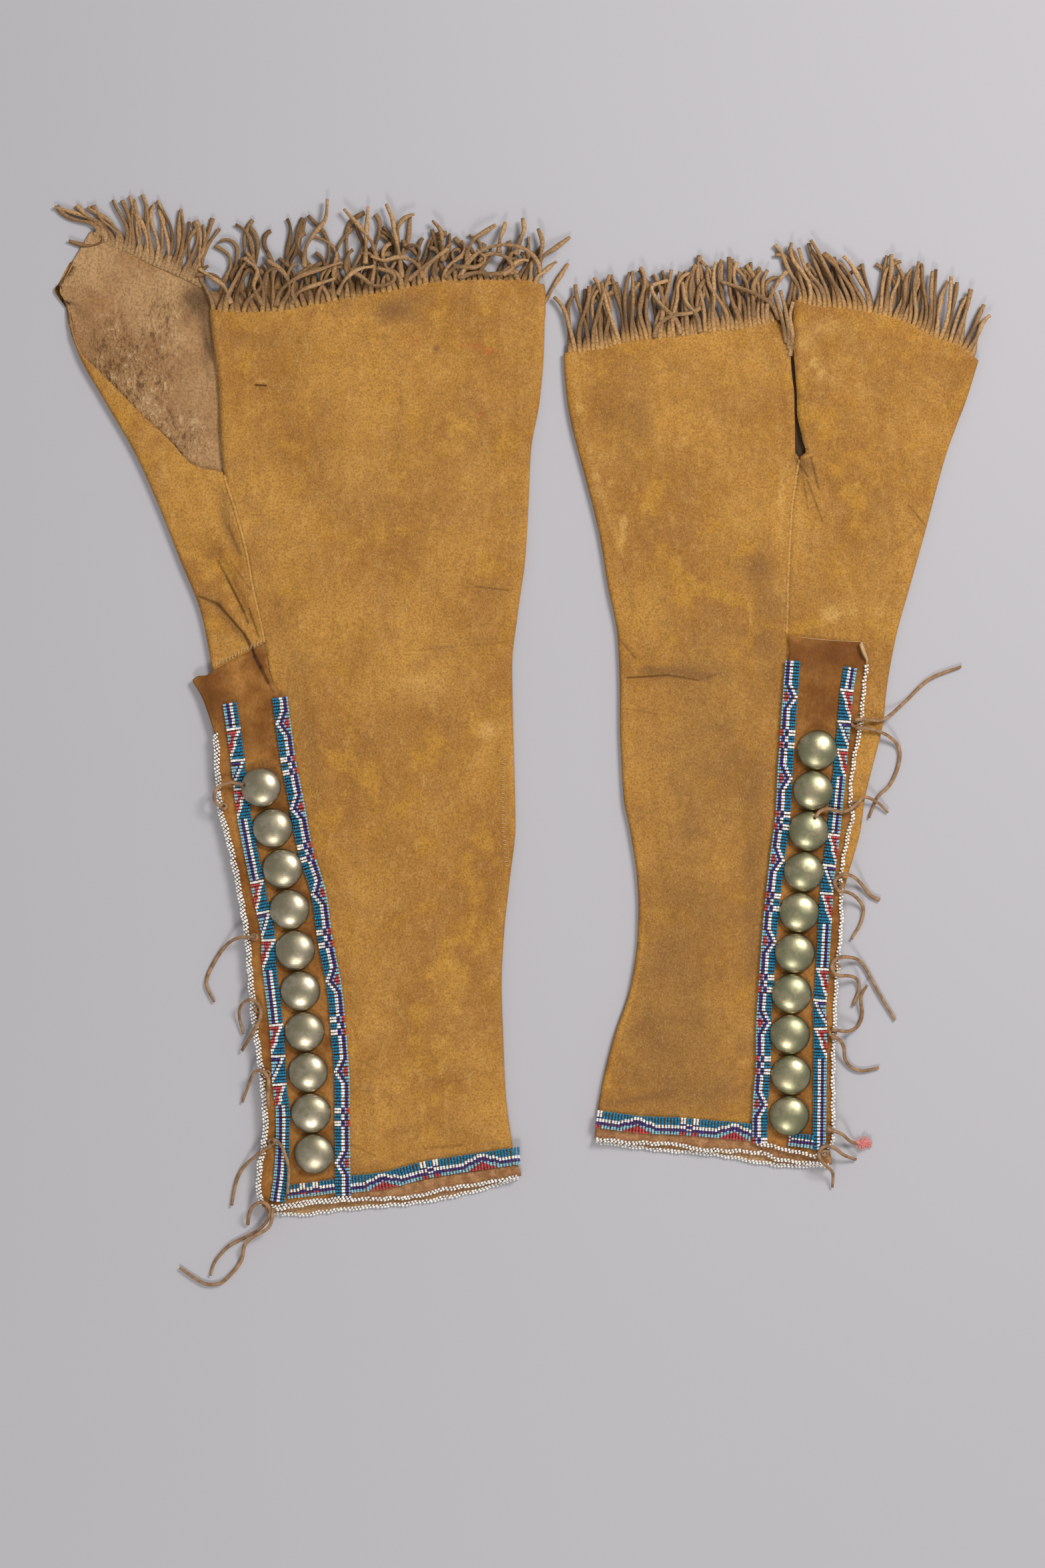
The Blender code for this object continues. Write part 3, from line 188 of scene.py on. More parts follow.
soft_lamp("key_lamp", (0.95, 0.85, 1.5), 0.6, 27.5)
soft_lamp("low_lamp", (-0.1, -1.5, 1.55), 0.5, 14.0)
world = bpy.data.worlds.new("studio")
world.use_nodes = True
room = world.node_tree.nodes["Background"].inputs
room["Color"].default_value, room["Strength"].default_value = ROOM_COLOUR, ROOM_STRENGTH
bpy.context.scene.world = world
bpy.context.scene.view_settings.view_transform = "Standard"
bpy.context.scene.view_settings.look = "None"

camera = bpy.data.cameras.new("camera")
camera.lens = VIEW_LENS
camera.sensor_width = 36.0
camera.clip_end = 20.0
camera_holder = bpy.data.objects.new("camera", camera)
camera_holder.location = (*VIEW_MIDDLE, VIEW_HEIGHT)
bpy.context.scene.collection.objects.link(camera_holder)
bpy.context.scene.camera = camera_holder

# --- Thongs
# Narrow ties cut from soft hide, each passed through the flap's free side or the hem and knotted there. Their free ends
# lie over the flap, the fold and the table. Each row is one thong's route, X, Y and Z.
THONG_WIDTH = 2.3
THONG_THICKNESS = 1.6
THONG_TWIST = 0.05
THONG_TURN = 0.5
THONG_TAPER = 0.25
THONG_STEP = 2.0
# The thong, by its side and its number from 0, whose far end is tied into the yarn tuft.
KNOTTED_END = ("right", 7)
THONGS = {
    "left": [
        [(-168, -49.5, 13.9), (-176.5, -47.8, 12.4), (-184, -51.5, 12.8), (-185.6, -58.5, 12.4), (-180.5, -64.5, 10)],
        [(-160.6, -142.5, 10.6), (-171.4, -143.1, 9.7), (-179.2, -148, 3), (-185.7, -157, 1.6), (-190.6, -166.9, 1.6),
         (-191.1, -173.8, 1.6), (-186.5, -182.9, 1.6)],
        [(-169.5, -212.5, 2.4), (-161.5, -199.7, 10.4), (-157.4, -190.6, 10.6), (-158.6, -184, 10.6),
         (-164, -180.8, 10.4), (-169.6, -184.6, 7.4), (-171.2, -192, 3), (-168.7, -202.6, 1.6)],
        [(-152.6, -246.4, 10.6), (-153, -238.7, 10.6), (-152.5, -231, 10.6), (-154, -226.6, 10.6),
         (-157, -224.3, 10.5), (-160.8, -225, 9.8), (-163.2, -228.2, 8), (-165.4, -234.1, 4.8), (-169.3, -244.4, 1.6)],
        [(-151.2, -270.2, 10.6), (-157.8, -274.7, 10.5), (-167.7, -283.3, 3.1), (-173, -293.1, 1.6),
         (-175.9, -307.9, 1.6)],
        [(-150.2, -265.8, 11.3), (-145.4, -269.4, 11.3), (-142.4, -275.8, 11.2), (-140.2, -285.4, 10.6),
         (-141, -300.1, 9.6)],
        [(-166, -319.5, 1.9), (-164.8, -312.5, 7.1), (-161.6, -306.8, 10.6), (-156, -304.8, 10.6),
         (-151.8, -308.8, 10.6), (-152.8, -315, 8.4), (-158, -321.5, 4.5), (-165.8, -326.4, 1.8),
         (-176.7, -332.1, 1.6), (-182.9, -338.2, 1.6), (-186.5, -343.2, 1.6), (-189, -351, 1.6)],
        [(-149.8, -308.5, 11.2), (-150.5, -315, 10.4), (-153.4, -321.4, 7.7), (-161.2, -326, 5.6),
         (-167.3, -331.4, 5.4), (-170.1, -341.9, 1.8), (-176.3, -350.1, 1.5), (-182.9, -355.5, 1.6),
         (-190.6, -356.3, 1.6), (-198.4, -352.6, 1.6), (-207.9, -346, 1.6)],
    ],
    "right": [
        [(206.4, -9.4, 9.6), (213, -9.2, 9.6), (224.7, -9, 7), (238.2, 2, 1.6), (253, 15.6, 1.6), (272.6, 23.4, 1.6)],
        [(206.8, -14.4, 9.6), (215.2, -14.7, 8.9), (226.7, -18.9, 5.7), (234.1, -26.2, 1.6), (234.1, -36.9, 1.6),
         (228.8, -49.2, 1.6), (221.4, -56.6, 1.6), (215.8, -69.7, 1.6)],
        [(182, -69.3, 13.4), (185, -65.4, 12.8), (190.4, -64, 11), (196, -65.6, 10.3), (202.1, -65.2, 10.4),
         (207.9, -60.7, 10.3), (213.2, -56.8, 7.4), (221.4, -60.5, 3.5), (227.5, -66.3, 1.6)],
        [(222.6, -120.1, 1.6), (216.9, -117.3, 1.6), (211.5, -110.7, 3.2), (205.4, -105.4, 9), (198.6, -104.2, 10.6),
         (194, -108.4, 10.6), (196.2, -114, 10.6), (202.4, -115.2, 10.3), (208.4, -119, 5.6), (212.4, -125.6, 1.7),
         (210.7, -134.9, 1.6), (205, -144.3, 1.6)],
        [(206.2, -184.9, 1.6), (209.9, -175.1, 1.6), (208, -168.4, 3.4), (202, -166.2, 9.3), (195.8, -166, 10.6),
         (192.2, -161, 10.6), (195.2, -155.8, 10.6), (202, -154.8, 9.3), (210, -157.4, 2.4), (215.4, -164.8, 1.6),
         (222.2, -177.5, 1.6), (232.1, -193.9, 1.6)],
        [(192.4, -199.2, 10.6), (202.1, -200.4, 7.6), (208.6, -197.8, 2.3), (211.6, -191, 1.8), (210.7, -180, 4.3),
         (214.6, -172, 4.6)],
        [(192, -203.4, 10.6), (197, -205.4, 10.4), (200, -210.6, 7.4), (201, -217.4, 3), (205.2, -223, 1.6),
         (212, -225.1, 1.6), (222.2, -223, 1.6)],
        [(189.2, -259.6, 11.3), (198.4, -263.2, 9.8), (205.8, -269, 2.9), (217.4, -269.8, 1.6)],
        [(207.8, -279.6, 1.6), (200.4, -276.6, 6.1), (194, -271.8, 10.6), (187.6, -270.6, 11.3),
         (184.2, -275.4, 11.3), (187, -280.8, 11.1), (193, -287, 6.4), (193.4, -296.6, 1.6)],
    ],
}


def new_piece(name, points, faces, finishes, part_slot, nodes=(), **attributes):
    """A mesh object from points in millimetres and faces given as arrays of point numbers, one array for each number of
    sides. An attribute holds a number or a colour for each point."""
    mesh = bpy.data.meshes.new(name)
    points = np.asarray(points, np.float32).reshape(-1, 3) * MM
    mesh.vertices.add(len(points))
    mesh.vertices.foreach_set("co", points.ravel())
    corners = np.concatenate([np.asarray(group).ravel() for group in faces]).astype(np.int32)
    sides = np.concatenate([np.full(len(group), group.shape[1]) for group in faces])
    mesh.loops.add(len(corners))
    mesh.loops.foreach_set("vertex_index", corners)
    mesh.polygons.add(len(sides))
    mesh.polygons.foreach_set("loop_start", np.concatenate([[0], np.cumsum(sides)[:-1]]).astype(np.int32))
    mesh.polygons.foreach_set("use_smooth", np.ones(len(sides), bool))
    mesh.update(calc_edges=True)
    for key, values in attributes.items():
        values = np.asarray(values, np.float32).reshape(len(points), -1)
        if values.shape[1] == 1:
            mesh.attributes.new(key, "FLOAT", "POINT").data.foreach_set("value", values.ravel())
        else:
            tint = np.column_stack([values, np.ones(len(points), np.float32)])
            mesh.color_attributes.new(key, "FLOAT_COLOR", "POINT").data.foreach_set("color", tint.ravel())
    for finish in finishes:
        mesh.materials.append(finish.material)
    piece = bpy.data.objects.new(name, mesh)
    bpy.context.scene.collection.objects.link(piece)
    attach(piece, "root")
    if nodes:
        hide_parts(*nodes)
    return piece


def unit(vectors):
    """Each vector divided by its length."""
    return vectors / np.linalg.norm(vectors, axis=-1, keepdims=True)


def distances(path):
    """How far along a path each of its points lies: the sum of the steps before it."""
    return np.concatenate([[0], np.cumsum(np.linalg.norm(np.diff(path, axis=0), axis=1))])


def smooth_path(points, step):
    """Points a step apart along a Catmull-Rom curve. Between b and c, with a before and d after them, the place at t is
    half of 2b + (c - a)t + (2a - 5b + 4c - d)t² + (3b - a - 3c + d)t³."""
    points = np.asarray(points, float)
    ends = np.concatenate([[2 * points[0] - points[1]], points, [2 * points[-1] - points[-2]]])
    a, b, c, d = (ends[i : len(ends) - 3 + i, None] for i in range(4))
    t = np.linspace(0, 1, 20, endpoint=False)[None, :, None]
    fine = 0.5 * (2 * b + (c - a) * t + (2 * a - 5 * b + 4 * c - d) * t**2 + (3 * b - a - 3 * c + d) * t**3)
    fine = np.concatenate([fine.reshape(-1, points.shape[1]), points[-1:]])
    along = distances(fine)
    at = np.linspace(0, along[-1], max(4, round(along[-1] / step) + 1))
    return np.stack([np.interp(at, along, fine[:, k]) for k in range(fine.shape[1])], axis=1)


def ring_faces(shape, outwards=-1):
    """Faces of tubes whose points are numbered tube by tube, ring by ring and round each ring: a quad between each two
    neighbours and those on the next ring, and a face over each end. Rings that turn the other way take outwards = 1."""
    number = np.arange(math.prod(shape)).reshape(shape)
    after = np.roll(number, -1, axis=2)
    quads = np.stack([number[:, :-1], after[:, :-1], after[:, 1:], number[:, 1:]], axis=-1).reshape(-1, 4)
    caps = np.concatenate([number[:, 0, ::-1], number[:, -1]])
    return [quads, caps] if outwards == 1 else [np.roll(quads[:, ::-1], 1, axis=1), caps[:, ::-1]]


def tubes(paths, width, thickness, turn, sides):
    """Tubes along paths that have equally many points. An ellipse stands across the path at each point: with the level
    direction beside the path as its width and the one above the path as its thickness, it is turned by an angle."""
    paths = np.asarray(paths, float)
    way = unit(np.gradient(paths, axis=1))
    beside = np.cross(way, (0.0, 0.0, 1.0))
    beside /= np.maximum(np.linalg.norm(beside, axis=2, keepdims=True), 1e-6)
    above = np.cross(beside, way)
    around = np.linspace(0, 2 * np.pi, sides, endpoint=False)
    width, thickness, turn = (np.broadcast_to(v, paths.shape[:2])[..., None] for v in (width, thickness, turn))
    wide, thick = width / 2 * np.cos(around), thickness / 2 * np.sin(around)
    out = (wide * np.cos(turn) - thick * np.sin(turn))[..., None]
    up = (wide * np.sin(turn) + thick * np.cos(turn))[..., None]
    points = paths[:, :, None] + beside[:, :, None] * out + above[:, :, None] * up
    return points, ring_faces(points.shape[:3])


thong_finish = Finish("thong_hide", 0.8, Specular_IOR_Level=0.25)
streak = thong_finish.noise(5.0, 3.0, 0.6)
thong_finish.colour(thong_finish.blend(streak, 0.3, 0.7, (0.2, 0.105, 0.05), (0.38, 0.222, 0.113)))
thong_finish.relief(streak, 0.25)

for side, routes in THONGS.items():
    for i, points in enumerate(routes):
        route = smooth_path(points, THONG_STEP)
        along = distances(route)
        narrow = 1 - THONG_TAPER * (along / along[-1]) ** 4
        twist = THONG_TURN * np.sin(THONG_TWIST * along + i)
        points, faces = tubes([route], THONG_WIDTH * narrow, THONG_THICKNESS * narrow, twist, sides=8)
        node = f"{side}_thong_{i + 1}"
        thong = new_piece(node + "_hide", points, faces, [thong_finish], "thongs", [node])
        tuple(route[0] * MM)
        "knot" if (side, i) == KNOTTED_END else "bare"
        [tuple(point) for point in route * MM]

# --- The two hides
# Each legging is one brain-tanned hide, painted yellow ochre outside and left buff inside, folded round the leg. Its
# edges meet in a seam on the front that stops short of the thigh end, and the left one's corner is turned back.
WALL = 1.5
LAYER_GAP = 0.4
FOLD_RADIUS = 1.9
FOLD_REACH = 14.0
FOLD_SHOULDER = 6.0
OVERHANG_LEVEL = 3.0
OVERHANG_DROOP = 0.25
FLAP_CLEARANCE = 5.0
SEAM_GAP = 0.3
SEAT_GAP = 0.3
FLAP_THICKNESS = 1.5
FLAP_BRIDGE = 2.5
MID_Z = WALL / 2 + WALL + LAYER_GAP
FOLD_LIFT = 2 * FOLD_RADIUS + WALL / 2 - MID_Z
FOLD_INSET = FOLD_RADIUS + WALL / 2
CREASE_GAIN = 1.35
BACK_SPACING = 1.5
FOLD_STATIONS = 9
HALVINGS = 50
# Sections: height along the leg and the hide's two side folds there, from the thigh to the ankle. Seam: height, its
# middle and its gap. Edges: X and Y. Creases: from one place to another, height and half width, large ridges first.
LEFT = {
    "sections": [
        (291, -265, 16), (275, -274, 16), (259, -282.5, 16), (254, -284, 17), (247, -279.5, 17), (241, -275.5, 17),
        (235, -275.5, 16.5), (217, -270.5, 16), (187, -254, 13.5), (155, -235.5, 8), (122, -220.5, 6.5),
        (89, -207.5, 4.5), (56, -194.5, 0), (23, -188, -3.5), (-10, -182, -3), (-45, -177, -2), (-75, -172.5, -1.5),
        (-108, -166, -5), (-141, -161, -8.5), (-173, -157.5, -10), (-206, -154.5, -9), (-239, -151, -7.5),
        (-272, -151, -3), (-300, -154.5, 4.5), (-318, -157, 5),
    ],
    "seam": [
        (290, -190, 1.0), (243, -189.5, 1.0), (200, -184.5, 1.0), (146, -181.3, 0.7), (120, -173.8, 0.08),
        (96, -167.3, 0.08), (73, -163.2, 0.08), (40, -156, 0.08), (0, -150, 0.08), (-60, -142, 0.15),
        (-140, -128, 0.15), (-220, -120, 0.15), (-318, -118, 0.15),
    ],
    "top_left": [(-268, 215), (-247.5, 195), (-234, 181), (-215, 163.5), (-199, 147), (-182.5, 143)],
    "top_back": [
        (-262, 291), (-250.5, 283), (-238, 278), (-226, 272), (-212, 265.7), (-197.5, 259), (-188, 254), (-145, 256),
        (-100, 257), (-50, 259), (15, 258),
    ],
    "top_right": [
        (-190, 243), (-172, 241), (-145, 242), (-128, 245), (-103, 250), (-76, 254.5), (-51, 259.5), (-35, 260.5),
        (2, 261), (15, 258),
    ],
    "hide_foot_front": [(-152, -300), (-102, -294), (-57, -286), (-22, -281), (4, -277)],
    "hide_foot_back": [(-152, -302), (-102, -298), (-57, -292), (-22, -285), (4, -277.6)],
    "hem_foot_front": [(-152, -306.5), (-107, -304), (-67, -302.5), (-46, -297.5), (-25, -294.5), (4, -288.8)],
    "hem_foot_back": [(-156, -311.8), (-134, -313.2), (-109, -310), (-64, -306), (-25, -298.5), (4, -289.4)],
    "creases": [
        (-110, 215, -40, 196, 1.4, 22), (-60, 120, -20, 20, 1.6, 24), (-85, 40, -60, -90, 1.4, 20),
        (-75, -150, -40, -215, 1.6, 18), (-190, 69, -181, 64, 1.3, 3.2), (-181, 64, -159, 37, 1.6, 3.4),
        (-195, 61, -186, 56, -0.9, 2.6), (-186, 56, -168, 35, -0.9, 3), (-180, 96, -172, 76, 1.3, 3),
        (-172, 76, -160, 52, 1.1, 3), (-184, 92, -166, 54, -0.8, 2.6), (-178, 134, -168, 99, 1.2, 3),
        (-190, 110, -180, 92, 0.9, 3.5), (-95, 150, -60, 143, 0.5, 5), (-30, 205, -8, 150, 0.8, 6),
        (-140, 195, -128, 150, 0.5, 7), (-50, 70, -30, 60, 0.6, 4), (-20, -20, -38, -60, 0.7, 5),
        (-70, -105, -30, -118, 0.6, 5), (-60, -250, -20, -262, 0.7, 5), (-90, -225, -84, -270, 0.6, 4),
        (-98, -262, -62, -240, 0.9, 5), (-60, -238, -22, -262, 0.9, 6), (-100, -225, -60, -210, 0.7, 6),
        (-110, 200, -104, 120, 0.6, 5), (-66, 196, -70, 150, 0.7, 4), (-60, 24, -6, 32, 0.7, 3.5),
        (-128, 40, -118, -60, 0.8, 6),
    ],
    "back_creases": [
        (-283, 252, -262, 243, 3.2, 4.5), (-270, 262, -255, 250, 1.4, 6), (-262, 240, -257, 222, 1.6, 4),
        (-234, 212, -228, 192, 1.8, 4), (-225, 206, -222, 190, -0.6, 3), (-245, 205, -236, 186, 1.2, 4),
        (-270, 285, -240, 268, 0.8, 9), (-215, 245, -205, 215, 0.9, 8), (-232, 180, -205, 160, 1.4, 4),
        (-120, 190, -60, 120, 0.25, 16), (-150, -40, -60, -90, 0.25, 14), (-120, -200, -40, -240, 0.22, 14),
        (-60, 60, -30, -20, 0.25, 16), (-170, 90, -110, 30, 0.22, 12), (-90, -282, -30, -268, 0.25, 6),
        (-40, 200, -15, 140, 0.25, 9),
    ],
}
RIGHT = {
    "sections": [
        (250, 27, 297), (230, 28, 289), (211, 28.3, 283), (187, 30.3, 275.5), (171, 33.2, 269.4), (155, 37.3, 263.6),
        (138, 41.8, 258.7), (105, 50, 250), (73, 55.3, 241), (40, 61.5, 232), (7, 62.7, 226.3), (-9, 62.7, 224.8),
        (-42, 64, 217), (-59, 65.2, 213), (-75, 68.5, 211), (-108, 73.4, 202), (-124, 74.2, 198), (-141, 73.8, 195),
        (-173, 69.3, 192), (-206, 58.6, 191), (-239, 50.8, 190), (-262, 47.5, 190.5), (-285, 45.8, 193.5),
    ],
    "seam": [
        (250, 168.2, 3.0), (225, 168.0, 2.0), (204, 169.3, 2.2), (190, 170.6, 1.6), (179, 170.8, 1.6),
        (168, 172.0, 3.4), (161, 172.8, 5.0), (156, 173.6, 6.4), (153.8, 173.6, 6.2), (151.6, 173.0, 0.4),
        (144, 171.6, 0.08), (133, 170, 0.08), (118, 168, 0.08), (40, 165.2, 0.08), (-30, 165, 0.08),
        (-110, 163, 0.15), (-200, 160, 0.15), (-285, 160, 0.15),
    ],
    "top_left": [
        (28.5, 215.7), (51.7, 218.5), (61, 221.5), (74, 224), (104, 226.7), (118.4, 229.2), (138, 231.2),
        (150, 233.5), (159, 236), (163.5, 229), (167, 220),
    ],
    "top_back": [(28, 215), (90, 223), (165, 235), (215, 238), (250, 227), (283, 210)],
    "top_right": [
        (170.8, 249), (180, 245.6), (201, 243.7), (216, 241.3), (238, 235), (255.4, 226.3), (272, 220), (283, 211),
    ],
    "hide_foot_front": [(46, -253.5), (75, -258), (99, -259), (145, -262.7), (190, -266)],
    "hide_foot_back": [(46, -256), (100, -262), (145, -265), (190, -266.6)],
    "hem_foot_front": [
        (46, -266.3), (73, -269), (97, -269.6), (109, -272.8), (150, -275.2), (160, -279.2), (190, -282.4),
    ],
    "hem_foot_back": [(46, -268), (85, -273.3), (120, -276.2), (151, -281.5), (168, -283.2), (193, -283.4)],
    "creases": [
        (70, 120, 105, 50, 1.6, 18), (84, 170, 120, 140, 1.2, 18), (190, 170, 235, 120, 1.4, 20),
        (95, -40, 110, -150, 1.4, 18), (80, -180, 105, -215, 1.4, 14), (78, 20, 117, 15, 0.8, 3.5),
        (60, 112, 72, 68, 0.8, 4), (72, 68, 87, 20, 0.9, 4), (176, 140, 190, 120, 1.0, 4),
        (180, 143, 205, 133, 0.8, 4), (168, 140, 158, 124, 0.8, 4), (100, 95, 128, 70, 0.6, 6),
        (205, 60, 224, 20, 0.6, 6), (120, 40, 135, -20, 0.6, 7), (88, -60, 92, -110, 0.6, 5),
        (62, -215, 90, -228, 0.7, 5), (110, -190, 135, -200, 0.5, 5), (75, 24, 118, 20, 0.9, 3),
        (62, -232, 138, -246, 0.8, 5), (52, -246, 96, -238, 0.7, 4), (100, -222, 138, -218, 0.7, 5),
        (52, 190, 74, 150, 0.8, 6), (60, 176, 90, 168, 0.7, 5), (216, 170, 246, 150, 0.7, 5),
        (37, 205, 47, 150, 1.2, 3), (47, 150, 59, 100, 1.2, 3), (66, 190, 84, 172, 0.9, 3.5),
        (64, 178, 86, 158, 0.9, 3.5), (229, 93, 247, 111, 1.3, 3.5), (178, 150, 186, 118, 1.1, 3),
        (174, 146, 178, 124, 0.9, 2.6), (182, 152, 196, 140, 0.9, 3),
    ],
    "back_creases": [
        (60, 150, 140, 90, 0.25, 16), (200, 120, 230, 60, 0.22, 14), (90, -60, 150, -120, 0.25, 15),
        (80, -180, 150, -230, 0.22, 12), (120, 200, 200, 180, 0.2, 14), (176, 60, 184, -40, 0.2, 10),
        (58, -244, 110, -236, 0.25, 6),
    ],
}
# Height along each flap and its two sides there, then its upper and lower ends.
FLAPS = {
    "left": [
        (38, -199.7, -154.4), (30, -199.7, -154.4), (23, -199.7, -153.5), (15, -199.7, -150.8), (9, -196.4, -147.8),
        (5.5, -194.4, -143), (0, -192, -141.6), (-10, -188.6, -140), (-20, -185.8, -138.5), (-42, -184.6, -135),
        (-59, -183.8, -131.7), (-89, -176.4, -125.5), (-115, -171.2, -118.2), (-144, -166.4, -113.3),
        (-171, -164.3, -108.7), (-195, -162, -105.9), (-227, -157.6, -103.8), (-258, -155.2, -103),
        (-272, -156.4, -103), (-288, -159.3, -103), (-300, -159, -103.4), (-309, -156, -103.4),
    ],
    "right": [
        (42, 166.5, 212.6), (30, 167, 214.8), (24, 164.6, 213.9), (5, 162.8, 211.9), (-10, 161.5, 210.6),
        (-38, 159.3, 205.5), (-57, 158.4, 203.8), (-68, 158, 205.2), (-82, 156.6, 202), (-108, 153.6, 198),
        (-131, 151, 198.3), (-156, 149, 196.4), (-192, 146.7, 194.2), (-225, 145.6, 193.2), (-248, 144, 193.2),
        (-262, 143.6, 193.6), (-270, 143.4, 192), (-276, 143.4, 189.6),
    ],
}
FLAP_ENDS = {
    "left": (
        [(-199.7, 15.2), (-196, 17.6), (-191.5, 17.8), (-187, 20.6), (-154.6, 38.1)],
        [(-160, -305), (-155, -308.6), (-150, -309), (-129, -306.2), (-103.5, -303.5)],
    ),
    "right": (
        [(166.5, 42), (178, 40.6), (190, 39.4), (212.4, 38.1)],
        [(143.4, -269), (152.3, -270.1), (167.6, -273.7), (185, -276.6), (190, -275.8)],
    ),
}


class Curve:
    """A line through pairs (at, value): a cubic between each two, with the harmonic mean of the slopes beside a pair as
    its slope there, or none where the line turns back. It is level beyond its ends."""

    def __init__(self, pairs):
        self.at, self.value = np.array(sorted(pairs), float).T
        slope = np.diff(self.value) / np.diff(self.at)
        before, after = slope[:-1], slope[1:]
        same_way = before * after > 0
        inner = np.where(same_way, 2 * before * after / np.where(same_way, before + after, 1), 0)
        self.tangent = np.concatenate([slope[:1], inner, slope[-1:]])

    def __call__(self, where):
        where = np.clip(where, self.at[0], self.at[-1])
        i = np.clip(np.searchsorted(self.at, where) - 1, 0, len(self.at) - 2)
        step = self.at[i + 1] - self.at[i]
        t = (where - self.at[i]) / step
        start = self.value[i] * (1 + 2 * t) * (1 - t) ** 2 + self.tangent[i] * step * t * (1 - t) ** 2
        end = self.value[i + 1] * (3 - 2 * t) * t**2 - self.tangent[i + 1] * step * (1 - t) * t**2
        return start + end


def curves(rows):
    """A curve for each value that follows the first one in the rows."""
    rows = np.array(rows, float)
    return [Curve(rows[:, [0, k]].tolist()) for k in range(1, rows.shape[1])]


DRAPE_LIFT = 0.45
DRAPE = [(0.3, 0.105, 0.04, 0.4), (0.26, -0.05, 0.13, 2.1), (0.16, 0.21, -0.09, 4.0), (0.12, 0.09, 0.28, 1.2)]


def drape(x, y):
    """Slow waves of the whole hide over a lift: each is its height times sin(x times one number + y times another + a
    start)."""
    return DRAPE_LIFT + sum(height * np.sin(by_x * x + by_y * y + start) for height, by_x, by_y, start in DRAPE)


def raised(creases, x, y):
    """Height that the creases add at places: each adds the gain times its height times exp(-(away / width)²)."""
    rise = np.zeros(np.shape(x))
    for x0, y0, x1, y1, height, width in creases:
        run = np.array([x1 - x0, y1 - y0], float)
        t = np.clip(((x - x0) * run[0] + (y - y0) * run[1]) / (run @ run), 0, 1)
        away = np.hypot(x - x0 - t * run[0], y - y0 - t * run[1])
        rise += CREASE_GAIN * height * np.exp(-((away / width) ** 2))
    return rise


